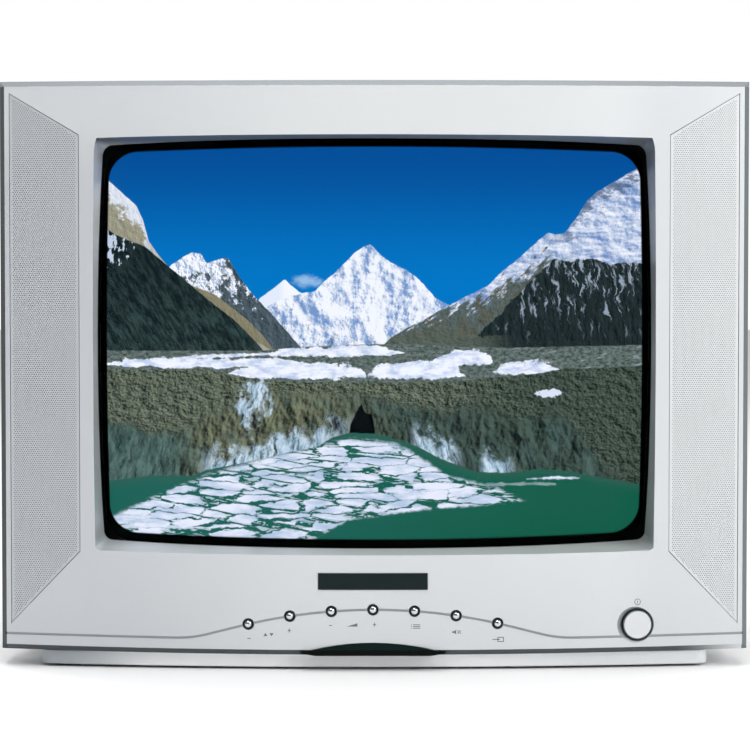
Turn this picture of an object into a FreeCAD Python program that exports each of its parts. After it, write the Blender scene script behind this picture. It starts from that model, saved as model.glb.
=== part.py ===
import FreeCAD, Part
import math
import os

# A 14-inch tube television set, built as the pieces it comes apart into on a bench.
# Millimetres. +Z is up, the picture faces -Y, and the origin is on the table under
# the middle of the set's box.

V = FreeCAD.Vector
os.makedirs("parts", exist_ok=True)

# ---- driving dimensions -------------------------------------------------------------
HALF_WIDTH = 197.0          # front frame, middle to side
FRONT_Y = -186.0            # foremost point of the bowed front
WINDOW_PROUD = 1.2          # the remote-control window stands this far forward of it
BACK_Y = 187.2              # rear of the cabinet's hump
BOW = 20.0                  # how far the front's middle stands forward of its sides
TOP_Z = 308.3
FOOT_HEIGHT = 1.4           # the pads under the plinth stand this far out of it
BASE_TOP = 8.4              # top of the plinth, underside of the cabinet
LOWER_EDGE_RISE = 1.0       # the frame's lower edge is this much higher at its ends
FRAME_BACK = -126.0         # where the front frame meets the rear cabinet
WALL = 2.6
SCREEN_Z = 170.5            # height of the tube's axis
OPENING_HALF_W = 147.0
OPENING_HALF_H = 109.4
GLASS_FRONT_Y = -174.0      # foremost point of the tube's face
FACE_RADIUS = 600.0
FACE_THICK = 11.0
PANEL_BACK = -112.0         # joint between the tube's face and its funnel
NECK_RADIUS = 11.25
NECK_START = 62.0
NECK_END = 150.0
BOARD_TOP = 17.2            # component side of the main board
BOARD_THICK = 1.6
DECK_BACK = 150.0           # rear wall of the cabinet's lower deck
CABINET_WALL = 2.8

BOW_RADIUS = (HALF_WIDTH**2 + BOW**2) / (2 * BOW)
BOW_CENTRE_Y = FRONT_Y + BOW_RADIUS
CUT = 60.0                  # cutting tools reach this far past what they cut

# ---- helpers --------------------------------------------------------------------------


def front_y(x, depth=0.0):
    """Where the bowed front lies at x, or a layer at that depth behind it."""
    return BOW_CENTRE_Y - math.sqrt((BOW_RADIUS - depth) ** 2 - x * x)


def block(x0, x1, y0, y1, z0, z1):
    return Part.makeBox(x1 - x0, y1 - y0, z1 - z0, V(x0, y0, z0))


def rod_y(radius, x, z, y0, y1):
    """Cylinder along Y."""
    return Part.makeCylinder(radius, y1 - y0, V(x, y0, z), V(0, 1, 0))


def rod_z(radius, x, y, z0, z1):
    """Cylinder along Z."""
    return Part.makeCylinder(radius, z1 - z0, V(x, y, z0))


def tube_y(outer, inner, x, z, y0, y1):
    return rod_y(outer, x, z, y0, y1).cut(rod_y(inner, x, z, y0 - 1, y1 + 1))


def join(*shapes):
    return shapes[0].multiFuse(list(shapes[1:])).removeSplitter()


def group(shapes):
    return Part.makeCompound(list(shapes))


def polygon_xz(points, y0, y1):
    """Prism along Y whose outline is drawn in the XZ plane."""
    wire = Part.makePolygon([V(x, y0, z) for x, z in points + points[:1]])
    return Part.Face(wire).extrude(V(0, y1 - y0, 0))


def polygon_yz(points, x0, x1):
    """Prism along X whose outline is drawn in the YZ plane."""
    wire = Part.makePolygon([V(x0, y, z) for y, z in points + points[:1]])
    return Part.Face(wire).extrude(V(x1 - x0, 0, 0))


def edges_along_y(shape):
    found = []
    for edge in shape.Edges:
        a, b = edge.Vertexes[0].Point, edge.Vertexes[-1].Point
        if abs(a.x - b.x) < 1e-6 and abs(a.z - b.z) < 1e-6 and abs(a.y - b.y) > 1e-3:
            found.append(edge)
    return found


def bowed_block(depth, side, back, z0, z1):
    """Plan outline of the set's front, moved in by depth and by side, from z0 to z1."""
    half = HALF_WIDTH - side
    edge_y = front_y(half, depth)
    nose_y = front_y(0, depth)
    arc = Part.Arc(V(-half, edge_y, z0), V(0, nose_y, z0), V(half, edge_y, z0)).toShape()
    rest = Part.makePolygon(
        [V(half, edge_y, z0), V(half, back, z0), V(-half, back, z0), V(-half, edge_y, z0)]
    )
    return Part.Face(Part.Wire([arc] + rest.Edges)).extrude(V(0, 0, z1 - z0))


def front_layer(near, far):
    """Curved slab under the bowed front, between two depths."""
    slab = bowed_block(near, 0, -100, -CUT, TOP_Z + CUT)
    return slab.cut(bowed_block(far, -10, -90, -CUT - 1, TOP_Z + CUT + 1))


def screen_prism(half_w, half_h, bow, corner, y0, y1):
    """Prism along Y with the barrel outline of a picture tube's face."""
    cx, cz = half_w - bow, half_h - bow

    def p(x, z):
        return V(x, y0, SCREEN_Z + z)

    sides = [
        Part.Arc(p(-cx, cz), p(0, half_h), p(cx, cz)),
        Part.Arc(p(cx, cz), p(half_w, 0), p(cx, -cz)),
        Part.Arc(p(cx, -cz), p(0, -half_h), p(-cx, -cz)),
        Part.Arc(p(-cx, -cz), p(-half_w, 0), p(-cx, cz)),
    ]
    face = Part.Face(Part.Wire([s.toShape() for s in sides]))
    prism = face.extrude(V(0, y1 - y0, 0))
    return prism.makeFillet(corner, edges_along_y(prism))


def outline_at(prism, y):
    """Outer wire of a prism's end face at y."""
    for face in prism.Faces:
        box = face.BoundBox
        if abs(box.YMin - y) < 1e-4 and abs(box.YMax - y) < 1e-4:
            return face.OuterWire
    raise ValueError("no end face there")


def screen_wire(half_w, half_h, bow, corner, y):
    return outline_at(screen_prism(half_w, half_h, bow, corner, y, y + 5), y)


def rounded_wire(half_w, z0, z1, corner, y):
    """Rectangle with round corners, upright at y."""
    prism = block(-half_w, half_w, y, y + 5, z0, z1)
    return outline_at(prism.makeFillet(corner, edges_along_y(prism)), y)


def stadium_wire(x, z, half_w, half_h, y):
    """Upright slot outline with half-round ends, centred on x, z."""
    straight = half_h - half_w
    a, b = V(x - half_w, y, z + straight), V(x + half_w, y, z + straight)
    c, d = V(x + half_w, y, z - straight), V(x - half_w, y, z - straight)
    over = Part.Arc(a, V(x, y, z + half_h), b).toShape()
    under = Part.Arc(c, V(x, y, z - half_h), d).toShape()
    return Part.Wire([over, Part.makeLine(b, c), under, Part.makeLine(d, a)])


def stadium_prism(x, z, half_w, half_h, y0, y1):
    return Part.Face(stadium_wire(x, z, half_w, half_h, y0)).extrude(V(0, y1 - y0, 0))


def loft(wires, ruled=True):
    return Part.makeLoft(wires, True, ruled)


def spun(points, start=0.0, angle=360.0):
    """Solid of revolution about the tube's axis. Points are (y, radius)."""
    wire = Part.makePolygon([V(0, y, SCREEN_Z + r) for y, r in points + points[:1]])
    solid = Part.Face(wire).revolve(V(0, 0, SCREEN_Z), V(0, 1, 0), angle)
    solid.rotate(V(0, 0, SCREEN_Z), V(0, 1, 0), start)
    return solid


def cable(points, radius):
    """Round cable along straight runs joined by arcs as large as the runs allow."""
    route = [V(*p) for p in points]
    edges = []
    here = route[0]
    for i in range(1, len(route) - 1):
        before, corner, after = route[i - 1], route[i], route[i + 1]
        into, out = (corner - before), (after - corner)
        reach = 0.45 * min(into.Length, out.Length)
        into.normalize()
        out.normalize()
        start, end = corner - into * reach, corner + out * reach
        half_turn = into.getAngle(out) / 2
        bend = reach / math.tan(half_turn)
        inward = out - into
        inward.normalize()
        middle = corner + inward * (bend / math.cos(half_turn) - bend)
        edges.append(Part.makeLine(here, start))
        edges.append(Part.Arc(start, middle, end).toShape())
        here = end
    edges.append(Part.makeLine(here, route[-1]))
    path = Part.Wire(edges)
    circle = Part.Wire([Part.makeCircle(radius, route[0], route[1] - route[0])])
    solid = path.makePipeShell([circle], True, False, 2)
    wanted = math.pi * radius**2 * path.Length
    if abs(solid.Volume - wanted) > 0.01 * wanted:
        raise ValueError("cable volume %.1f is not %.1f" % (solid.Volume, wanted))
    return solid


def save(name, shape):
    solids = shape.Solids
    bad = [s for s in solids if not s.isValid() or not s.isClosed() or s.Volume <= 0]
    if bad or not solids:
        raise ValueError("%s has %d bad solids of %d" % (name, len(bad), len(solids)))
    kept = solids[0] if len(solids) == 1 else Part.makeCompound(solids)
    kept.exportStep("parts/%s.step" % name)


# ---- front frame ------------------------------------------------------------------------
FRAME_CHAMFER = 2.8
REVEAL_WALL = 2.2
REVEAL_BACK = -140.0
GRILLE_OUTER_X, GRILLE_INNER_X = 191.5, 154.9
GRILLE_TOP_OUTER, GRILLE_TOP_INNER = 301.7, 280.0
GRILLE_FOOT_INNER, GRILLE_FOOT_OUTER = 62.0, 23.7
GRILLE_DEPTH = 0.4
GRILLE_THICK = 1.0
GRILLE_GAP = 0.3
SPEAKER_X = 173.4
SPEAKER_HALF_W, SPEAKER_HALF_H = 13.0, 40.0
SPEAKER_PLANE = -160.0
POWER_X, POWER_Z = 138.2, 23.4
POWER_CAP_RADIUS = 7.6
POWER_HOLE_RADIUS = 8.15
MIDDLE_X = -0.8             # middle line of the badge, the buttons and the window
BUTTON_PITCH = 21.75
BUTTON_X = [MIDDLE_X + i * BUTTON_PITCH for i in range(-3, 4)]
BUTTON_HOLE_RADIUS = 2.5
BUTTON_RING_RADIUS = 3.15
BADGE_HALF_W, BADGE_HALF_H, BADGE_Z = 28.6, 4.3, 47.2
BADGE_DEPTH = 0.8
TUBE_POST_X, TUBE_POST_Z = 163.0, 126.0     # from the tube's axis
TUBE_SCREW_RADIUS = 1.9
LUG_FRONT, LUG_THICK = -128.0, 2.0
CABINET_SCREWS = [(-120.0, 298.0), (120.0, 298.0), (-181.0, 24.0), (181.0, 24.0)]
BOARD_SCREWS = [(-150.0, -106.0), (150.0, -106.0), (-150.0, 116.0), (150.0, 116.0)]
CONTROL_SCREWS = [(-76.0, 33.0), (76.0, 33.0)]
CABINET_JOINT_Y = -116.0

# The seam is an arch over the buttons, a slant each side, and a nearly level run to
# the edges, all tangent.
ARCH_TOP, ARCH_RADIUS = 32.4, 285.0
ARCH_ANGLE = math.radians(14.4)
SEAM_END_Z, SEAM_END_ANGLE = 17.9, math.radians(0.5)
SEAM_SWEEP_RADIUS = 60.0
SEAM_HALF_WIDTH, SEAM_DEPTH = 0.65, 0.8


def button_z(x):
    """Height of the seam's arch, which the buttons stand on."""
    return ARCH_TOP - ARCH_RADIUS + math.sqrt(ARCH_RADIUS**2 - x * x)


def seam_points(offset):
    """Points of the right half of the seam's line, moved up by offset."""
    up1 = V(math.sin(ARCH_ANGLE), 0, math.cos(ARCH_ANGLE))
    up2 = V(-math.sin(SEAM_END_ANGLE), 0, math.cos(SEAM_END_ANGLE))
    arch_centre = V(0, 0, ARCH_TOP - ARCH_RADIUS)
    start = arch_centre + up1 * ARCH_RADIUS
    slope1, slope2 = -math.tan(ARCH_ANGLE), math.tan(SEAM_END_ANGLE)
    meet_x = (SEAM_END_Z - slope2 * HALF_WIDTH - start.z + slope1 * start.x) / (slope1 - slope2)
    meet = V(meet_x, 0, start.z + slope1 * (meet_x - start.x))
    reach = SEAM_SWEEP_RADIUS * math.tan((ARCH_ANGLE + SEAM_END_ANGLE) / 2)
    down_slope = V(math.cos(ARCH_ANGLE), 0, -math.sin(ARCH_ANGLE))
    centre = meet - down_slope * reach + up1 * SEAM_SWEEP_RADIUS
    turn = (ARCH_ANGLE - SEAM_END_ANGLE) / 2
    between = V(math.sin(turn), 0, math.cos(turn))
    radius = SEAM_SWEEP_RADIUS - offset
    end_x = HALF_WIDTH + 2
    end = V(end_x, 0, SEAM_END_Z + slope2 * (end_x - HALF_WIDTH) + offset)
    return [
        arch_centre + V(0, 0, ARCH_RADIUS + offset),
        arch_centre + up1 * (ARCH_RADIUS + offset),
        centre - up1 * radius,
        centre - between * radius,
        centre - up2 * radius,
        end,
    ]


def seam_line(offset, y):
    """Edges of the whole seam from left to right at y."""
    right = [V(p.x, y, p.z) for p in seam_points(offset)]
    left = [V(-p.x, y, p.z) for p in right]
    top, arch, sweep_a, sweep_b, sweep_c, end = right
    _, l_arch, l_sweep_a, l_sweep_b, l_sweep_c, l_end = left
    return [
        Part.makeLine(l_end, l_sweep_c),
        Part.Arc(l_sweep_c, l_sweep_b, l_sweep_a).toShape(),
        Part.makeLine(l_sweep_a, l_arch),
        Part.Arc(l_arch, top, arch).toShape(),
        Part.makeLine(arch, sweep_a),
        Part.Arc(sweep_a, sweep_b, sweep_c).toShape(),
        Part.makeLine(sweep_c, end),
    ]


def seam_cutter():
    y = FRONT_Y - 10
    upper, lower = seam_line(SEAM_HALF_WIDTH, y), seam_line(-SEAM_HALF_WIDTH, y)
    caps = [
        Part.makeLine(upper[0].Vertexes[0].Point, lower[0].Vertexes[0].Point),
        Part.makeLine(upper[-1].Vertexes[-1].Point, lower[-1].Vertexes[-1].Point),
    ]
    wire = Part.Wire(Part.sortEdges(upper + lower + caps)[0])
    strip = Part.Face(wire).extrude(V(0, 80, 0))
    return strip.common(front_layer(-1, SEAM_DEPTH))


def grille_points(side, grow):
    """Corners of a speaker grille, grown outward. The side is 1 for right, -1 for left."""
    return [
        (side * (GRILLE_OUTER_X + grow), GRILLE_TOP_OUTER + 1.6 * grow),
        (side * (GRILLE_INNER_X - grow), GRILLE_TOP_INNER + grow),
        (side * (GRILLE_INNER_X - grow), GRILLE_FOOT_INNER - grow),
        (side * (GRILLE_OUTER_X + grow), GRILLE_FOOT_OUTER - 2.4 * grow),
    ]


WINDOW_HALF_W, WINDOW_TOP, WINDOW_TIP_Z, WINDOW_FOOT = 38.1, 15.0, 9.6, 8.3
WINDOW_FLAT = 30.0          # half the length of its straight lower edge


def window_prism(grow, y0, y1):
    """Crescent outline of the remote-control window."""
    half = WINDOW_HALF_W + 2 * grow
    left = V(MIDDLE_X - half, y0, WINDOW_TIP_Z)
    right = V(MIDDLE_X + half, y0, WINDOW_TIP_Z)
    over = Part.Arc(left, V(MIDDLE_X, y0, WINDOW_TOP + grow), right).toShape()
    foot = WINDOW_FOOT - grow
    foot_right = V(MIDDLE_X + WINDOW_FLAT, y0, foot)
    foot_left = V(MIDDLE_X - WINDOW_FLAT, y0, foot)
    under = Part.makePolygon([right, foot_right, foot_left, left])
    return Part.Face(Part.Wire([over] + under.Edges)).extrude(V(0, y1 - y0, 0))


def frame_outline(inset, back):
    """Front frame's outer shape moved in by inset, with its curved lower edge."""
    z0, z1 = BASE_TOP + inset, TOP_Z - inset
    body = bowed_block(inset, inset, back, z0 - 5, z1)
    ends = z0 + LOWER_EDGE_RISE
    half = HALF_WIDTH + 5
    y0 = FRONT_Y - 10
    lower = Part.Arc(V(-half, y0, ends), V(0, y0, z0), V(half, y0, ends)).toShape()
    rest = Part.makePolygon(
        [V(half, y0, ends), V(half, y0, z1 + 5), V(-half, y0, z1 + 5), V(-half, y0, ends)]
    )
    face = Part.Face(Part.Wire([lower] + rest.Edges))
    return body.common(face.extrude(V(0, 200, 0)))


def front_edges(shape):
    """The four edges round the bowed front face."""
    limit = FRONT_Y + BOW + 0.01
    found = []
    for edge in shape.Edges:
        box = edge.BoundBox
        if box.YMax < limit:
            found.append(edge)
    return found


def reveal(grow):
    """Tapered inside of the screen opening, grown outward by grow."""
    near = screen_wire(
        OPENING_HALF_W + 1.1 + grow, OPENING_HALF_H + 0.5 + grow, 0.15, 2.0 + grow, FRONT_Y - 4
    )
    far = screen_wire(
        OPENING_HALF_W - 1.1 + grow, OPENING_HALF_H - 2.9 + grow, 2.6, 5.4 + grow, REVEAL_BACK
    )
    return loft([near, far])


def make_front_frame():
    outer = frame_outline(0, FRAME_BACK)
    outer = outer.makeChamfer(FRAME_CHAMFER, front_edges(outer))
    hollow = frame_outline(WALL, FRAME_BACK + 5)
    shell = outer.cut(hollow)

    # The reveal's wall follows the glass at its back, half a millimetre clear of it.
    glass_side = Part.makeSphere(
        FACE_RADIUS + 0.5, V(0, GLASS_FRONT_Y + FACE_RADIUS, SCREEN_Z)
    )
    collar = reveal(REVEAL_WALL).common(outer).cut(glass_side)
    additions = [collar]

    for side in (-1, 1):
        x = side * SPEAKER_X
        well = stadium_prism(x, SCREEN_Z, SPEAKER_HALF_W + 2, SPEAKER_HALF_H + 2, -172, SPEAKER_PLANE)
        well = well.cut(stadium_prism(x, SCREEN_Z, SPEAKER_HALF_W, SPEAKER_HALF_H, -180, -150))
        additions.append(well.common(frame_outline(1.0, FRAME_BACK)))
        for dz in (-TUBE_POST_Z, TUBE_POST_Z):
            post_z = SCREEN_Z + dz
            additions.append(rod_y(5.0, side * TUBE_POST_X, post_z, front_y(TUBE_POST_X) + 1.5, LUG_FRONT))
    for x, z in CABINET_SCREWS:
        post = rod_y(4.2, x, z, front_y(x) + 1.5, CABINET_JOINT_Y)
        additions.append(post)
    # Two ledges carry the control board, and a sleeve guides the power button.
    for x, z in CONTROL_SCREWS:
        additions.append(block(x - 3.5, x + 3.5, -180, CONTROL_BOARD_Y, BASE_TOP + 1.7, 38))
    sleeve_end = POWER_FLANGE_Y - 0.2
    additions.append(rod_y(10.6, POWER_X, POWER_Z, front_y(POWER_X) + 1.5, sleeve_end))
    shell = join(shell, *additions)

    cutters = [reveal(0), seam_cutter()]
    recess = front_layer(-1, GRILLE_DEPTH + GRILLE_THICK)
    for side in (-1, 1):
        x = side * SPEAKER_X
        pocket = polygon_xz(grille_points(side, GRILLE_GAP), FRONT_Y - 10, -120)
        cutters.append(recess.common(pocket))
        cutters.append(stadium_prism(x, SCREEN_Z, SPEAKER_HALF_W - 1, SPEAKER_HALF_H - 1, -185, -162))
        for dz in (-TUBE_POST_Z, TUBE_POST_Z):
            cutters.append(rod_y(TUBE_SCREW_RADIUS, side * TUBE_POST_X, SCREEN_Z + dz, -150, -120))
    for x, z in CABINET_SCREWS:
        cutters.append(rod_y(SCREW_RADIUS, x, z, -140, CABINET_JOINT_Y + 1))
    for x, z in CONTROL_SCREWS:
        cutters.append(rod_y(SCREW_RADIUS, x, z, -179, CONTROL_BOARD_Y + 1))
    for x in BUTTON_X:
        z = button_z(x)
        cutters.append(rod_y(BUTTON_HOLE_RADIUS, x, z, FRONT_Y - 10, -175))
        mouth = front_y(x) - 0.8
        wide = BUTTON_RING_RADIUS + 0.4
        cutters.append(Part.makeCone(wide, BUTTON_HOLE_RADIUS, 2.1, V(x, mouth, z), V(0, 1, 0)))
    cutters.append(rod_y(POWER_HOLE_RADIUS, POWER_X, POWER_Z, FRONT_Y - 10, -165))
    mouth = front_y(POWER_X) - 2.0
    cutters.append(
        Part.makeCone(11.3, POWER_HOLE_RADIUS, 3.4, V(POWER_X, mouth, POWER_Z), V(0, 1, 0))
    )
    cutters.append(window_prism(0.12, FRONT_Y - 10, -176))
    cutters.append(front_layer(-1, BADGE_DEPTH).common(badge_prism(0.1)))
    return shell.cut(cutters)


def make_grille(side):
    """Curved plate of the grille, set just below the frame's surface."""
    layer = front_layer(GRILLE_DEPTH, GRILLE_DEPTH + GRILLE_THICK)
    return layer.common(polygon_xz(grille_points(side, 0), FRONT_Y - 10, -120))


def make_remote_window():
    """Smoked lens: upper facet leans back, lower facet stands upright."""
    profile = [
        (FRONT_Y - WINDOW_PROUD, WINDOW_FOOT),
        (FRONT_Y - WINDOW_PROUD, WINDOW_FOOT + 2.8),
        (FRONT_Y - 0.2, WINDOW_TOP + 0.4),
        (-177, WINDOW_TOP + 0.4),
        (-177, WINDOW_FOOT + 3),
        (-183, WINDOW_FOOT + 2.2),
        (-183, WINDOW_FOOT),
    ]
    return window_prism(0, FRONT_Y - 10, -170).common(polygon_yz(profile, -50, 50))


def badge_prism(grow):
    """Oblong along Y as large as the badge, grown outward."""
    half_w, half_h = BADGE_HALF_W + grow, BADGE_HALF_H + grow
    return block(MIDDLE_X - half_w, MIDDLE_X + half_w, FRONT_Y - 10, -150,
                 BADGE_Z - half_h, BADGE_Z + half_h)


def make_badge():
    """Bare plate in a shallow recess."""
    return front_layer(-0.5, BADGE_DEPTH).common(badge_prism(0))


# ---- rear cabinet and base --------------------------------------------------------------
HUMP = [  # y, half width, bottom, top, corner radius
    (FRAME_BACK, 193.5, BASE_TOP, 305.0, 9.0),
    (-86.0, 191.5, BASE_TOP, 304.0, 11.0),
    (-54.0, 178.0, 14.0, 294.0, 20.0),
    (-18.0, 158.0, 24.0, 284.0, 28.0),
    (50.0, 118.0, 60.0, 262.0, 34.0),
    (120.0, 80.0, 92.0, 246.0, 26.0),
    (BACK_Y, 66.0, 106.0, 236.0, 18.0),
]
DECK = [
    (FRAME_BACK, 193.5, BASE_TOP, 126.0, 9.0),
    (-86.0, 191.5, BASE_TOP, 124.0, 11.0),
    (-54.0, 177.0, BASE_TOP, 120.0, 12.0),
    (40.0, 172.0, BASE_TOP, 104.0, 12.0),
    (DECK_BACK, 166.0, BASE_TOP, 90.0, 10.0),
]
FRAME_LIP = 5.0
LIP_INSET = 4.0
JACK_X = [-74.0, -54.0, -34.0]
JACK_Z = 44.0
AERIAL_X, AERIAL_Z = 36.0, 44.0
CORD_X, CORD_Z = 118.0, 34.0
CORD_HOLE_RADIUS = 7.0
SLOT_WIDTH = 3.0
SCREW_RADIUS = 1.5
SCREW_CLEAR = 1.9
BOARD_RAIL_X = 150.0


def skin(sections, inset):
    """Loft through the sections, each moved in by inset. The front end stays open."""
    wires = []
    for i, (y, half_w, z0, z1, corner) in enumerate(sections):
        if inset and i == 0:
            y -= 1
        if inset and i == len(sections) - 1:
            y -= inset
        wires.append(
            rounded_wire(half_w - inset, z0 + inset, z1 - inset, corner - inset / 2, y)
        )
    return loft(wires)


def vent_slots():
    slots = []
    half = SLOT_WIDTH / 2
    # Three rows through the top slope.
    for y0, y1, reach in ((-52, -26, 104), (-14, 14, 88), (26, 52, 64)):
        for i in range(-reach // 8, reach // 8 + 1):
            slots.append(block(i * 8 - half, i * 8 + half, y0, y1, 215, 320))
    # Level slots through the back of the hump.
    for i in range(11):
        z = 122 + i * 9.6
        slots.append(block(-44, 44, BACK_Y - 10, BACK_Y + 10, z - half, z + half))
    # Upright slots through both sides of the deck.
    for i in range(16):
        y = -40 + i * 10
        for x0, x1 in ((-200, -150), (150, 200)):
            slots.append(block(x0, x1, y - half, y + half, 36, 74))
    return slots + floor_slots()


def floor_slots():
    """Slots under the main board, through the cabinet's floor and the plinth alike."""
    half = SLOT_WIDTH / 2
    slots = []
    for i in range(-7, 8):
        for y0, y1 in ((-70, -30), (-10, 30)):
            slots.append(block(i * 12 - half, i * 12 + half, y0, y1, BASE_TOP - 5, BASE_TOP + 5))
    return slots


def ring_y(near, far, y0, y1):
    """Band inside the cabinet's mouth, between two insets from its outside."""
    _, half_w, z0, z1, corner = HUMP[0]

    def prism(inset, a, b):
        return loft([rounded_wire(half_w - inset, z0 + inset, z1 - inset, corner - inset, y)
                     for y in (a, b)])

    return prism(near, y0, y1).cut(prism(far, y0 - 1, y1 + 1))


def make_rear_cabinet():
    outer = join(skin(HUMP, 0), skin(DECK, 0))
    inner = join(skin(HUMP, CABINET_WALL), skin(DECK, CABINET_WALL))
    shell = outer.cut(inner)
    # A lip reaches into the front frame from a root inside the wall.
    lip_y0 = FRAME_BACK - FRAME_LIP
    lip = ring_y(LIP_INSET, LIP_INSET + 1.8, lip_y0, FRAME_BACK + 3)
    root = ring_y(2.0, LIP_INSET + 1.8, FRAME_BACK, FRAME_BACK + 3)
    additions = [lip, root]
    for x, z in CABINET_SCREWS:
        additions.append(rod_y(6.4, x, z, CABINET_JOINT_Y, 60).common(outer))
    for x in (-BOARD_RAIL_X, BOARD_RAIL_X):
        additions.append(block(x - 3.5, x + 3.5, -112, 122, BASE_TOP + 2, BOARD_TOP - BOARD_THICK))
    shell = join(shell, *additions)
    cutters = []
    for x, y in BOARD_SCREWS:
        cutters.append(rod_z(SCREW_RADIUS, x, y, BASE_TOP + 1.5, BOARD_TOP))
    for x, y in BASE_SCREWS:
        cutters.append(rod_z(SCREW_RADIUS, x, y, BASE_TOP - 1, BASE_TOP + CABINET_WALL + 1))
    # The lip makes way for the tube's lugs and their screws.
    for x in (-TUBE_POST_X, TUBE_POST_X):
        for z in (SCREEN_Z - TUBE_POST_Z, SCREEN_Z + TUBE_POST_Z):
            cutters.append(rod_y(10.5, x, z, lip_y0 - 5, FRAME_BACK))
            cutters.append(rod_y(5.5, x, z, lip_y0 - 5, FRAME_BACK + 6))
    for x, z in CABINET_SCREWS:
        cutters.append(rod_y(4.6, x, z, CABINET_JOINT_Y + 4, 80))
        cutters.append(rod_y(2.1, x, z, CABINET_JOINT_Y - 5, CABINET_JOINT_Y + 10))
        # Clearance for the frame's screw post.
        cutters.append(rod_y(4.8, x, z, lip_y0 - 5, CABINET_JOINT_Y))
    for x in JACK_X:
        cutters.append(rod_y(6.0, x, JACK_Z, DECK_BACK - 10, DECK_BACK + 10))
    cutters.append(rod_y(8.0, AERIAL_X, AERIAL_Z, DECK_BACK - 10, DECK_BACK + 10))
    cutters.append(rod_y(CORD_HOLE_RADIUS, CORD_X, CORD_Z, DECK_BACK - 10, DECK_BACK + 10))
    # Shallow sunk panel round the sockets.
    cutters.append(block(-90, 58, DECK_BACK - 0.8, DECK_BACK + 5, 30, 60))
    return shell.cut(vent_slots()).cut(cutters)


BASE_HALF_W = 176.3
BASE_CORNER = 7.0
BASE_WALL = 2.6
BASE_FRONT, BASE_BACK = -179.5, 128.0
BASE_BOW = 15.0             # how far the plinth's front curves back at its ends
FOOT_RADIUS = 9.0
FEET = [(-150.0, -140.0), (150.0, -140.0), (-150.0, 100.0), (150.0, 100.0)]
BASE_SCREWS = [(-136.0, -88.0), (136.0, -88.0), (-136.0, 84.0), (136.0, 84.0)]


def make_base():
    """Plinth under the set: a shallow upturned tray with a bowed front and round corners."""

    def outline(inset, z0, z1):
        half = BASE_HALF_W - inset
        front = BASE_FRONT + inset
        edge = front + BASE_BOW
        arc = Part.Arc(V(-half, edge, z0), V(0, front, z0), V(half, edge, z0)).toShape()
        back = BASE_BACK - inset
        rest = Part.makePolygon(
            [V(half, edge, z0), V(half, back, z0), V(-half, back, z0), V(-half, edge, z0)]
        )
        prism = Part.Face(Part.Wire([arc] + rest.Edges)).extrude(V(0, 0, z1 - z0))
        upright = [
            e for e in prism.Edges
            if abs(e.BoundBox.ZLength - (z1 - z0)) < 1e-6 and e.BoundBox.YLength < 1e-6
        ]
        return prism.makeFillet(BASE_CORNER - inset, upright)

    tray = outline(0, FOOT_HEIGHT, BASE_TOP)
    foot_edges = [e for e in tray.Edges if e.BoundBox.ZMax < FOOT_HEIGHT + 0.01]
    tray = tray.makeChamfer(0.5, foot_edges)
    tray = tray.cut([outline(3, FOOT_HEIGHT - 1, BASE_TOP - BASE_WALL)] + floor_slots())
    additions = [rod_z(FOOT_RADIUS + 3, x, y, FOOT_HEIGHT, BASE_TOP) for x, y in FEET]
    additions += [rod_z(6, x, y, FOOT_HEIGHT, BASE_TOP) for x, y in BASE_SCREWS]
    tray = join(tray, *additions)
    cutters = [rod_z(FOOT_RADIUS + 0.2, x, y, 0, FOOT_HEIGHT + 1) for x, y in FEET]
    cutters += [rod_z(SCREW_CLEAR, x, y, 0, BASE_TOP + 1) for x, y in BASE_SCREWS]
    cutters += [rod_z(4.2, x, y, 0, FOOT_HEIGHT + 3.0) for x, y in BASE_SCREWS]
    return tray.cut(cutters)


def make_feet():
    feet = []
    for x, y in FEET:
        foot = rod_z(FOOT_RADIUS, x, y, 0, FOOT_HEIGHT + 1)
        rim = [e for e in foot.Edges if e.BoundBox.ZMax < 0.01]
        feet.append(foot.makeChamfer(0.6, rim))
    return group(feet)


def screw(length, radius, head, place, direction):
    """Pan-head screw with a cross slot. The head's underside is at place, facing direction."""
    shank = rod_z(radius, 0, 0, -length, 0.5)
    cap = rod_z(head, 0, 0, 0, 2.2)
    cap = cap.makeFillet(0.9, [e for e in cap.Edges if e.BoundBox.ZMin > 2.1])
    slot = 0.5 * head
    slots = [block(-0.45, 0.45, -slot, slot, 1.1, 4), block(-slot, slot, -0.45, 0.45, 1.1, 4)]
    whole = join(shank, cap).cut(slots)
    whole.Placement = FreeCAD.Placement(place, FreeCAD.Rotation(V(0, 0, 1), direction))
    return whole


def make_screws():
    """Screws of the cabinet, the picture tube, the plinth and both boards."""
    back, up, down = V(0, 1, 0), V(0, 0, 1), V(0, 0, -1)
    screws = [
        screw(18, SCREW_RADIUS, 4.0, V(x, CABINET_JOINT_Y + 4, z), back) for x, z in CABINET_SCREWS
    ]
    for x in (-TUBE_POST_X, TUBE_POST_X):
        for z in (SCREEN_Z - TUBE_POST_Z, SCREEN_Z + TUBE_POST_Z):
            screws.append(screw(16, TUBE_SCREW_RADIUS, 5.0, V(x, LUG_FRONT + LUG_THICK, z), back))
    for x, y in BASE_SCREWS:
        screws.append(screw(8, SCREW_RADIUS, 3.8, V(x, y, FOOT_HEIGHT + 3), down))
    for x, y in BOARD_SCREWS:
        screws.append(screw(4.5, SCREW_RADIUS, 3.0, V(x, y, BOARD_TOP), up))
    for x, z in CONTROL_SCREWS:
        screws.append(
            screw(7, SCREW_RADIUS, 3.0, V(x, CONTROL_BOARD_Y + BOARD_THICK, z), back)
        )
    return group(screws)


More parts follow.
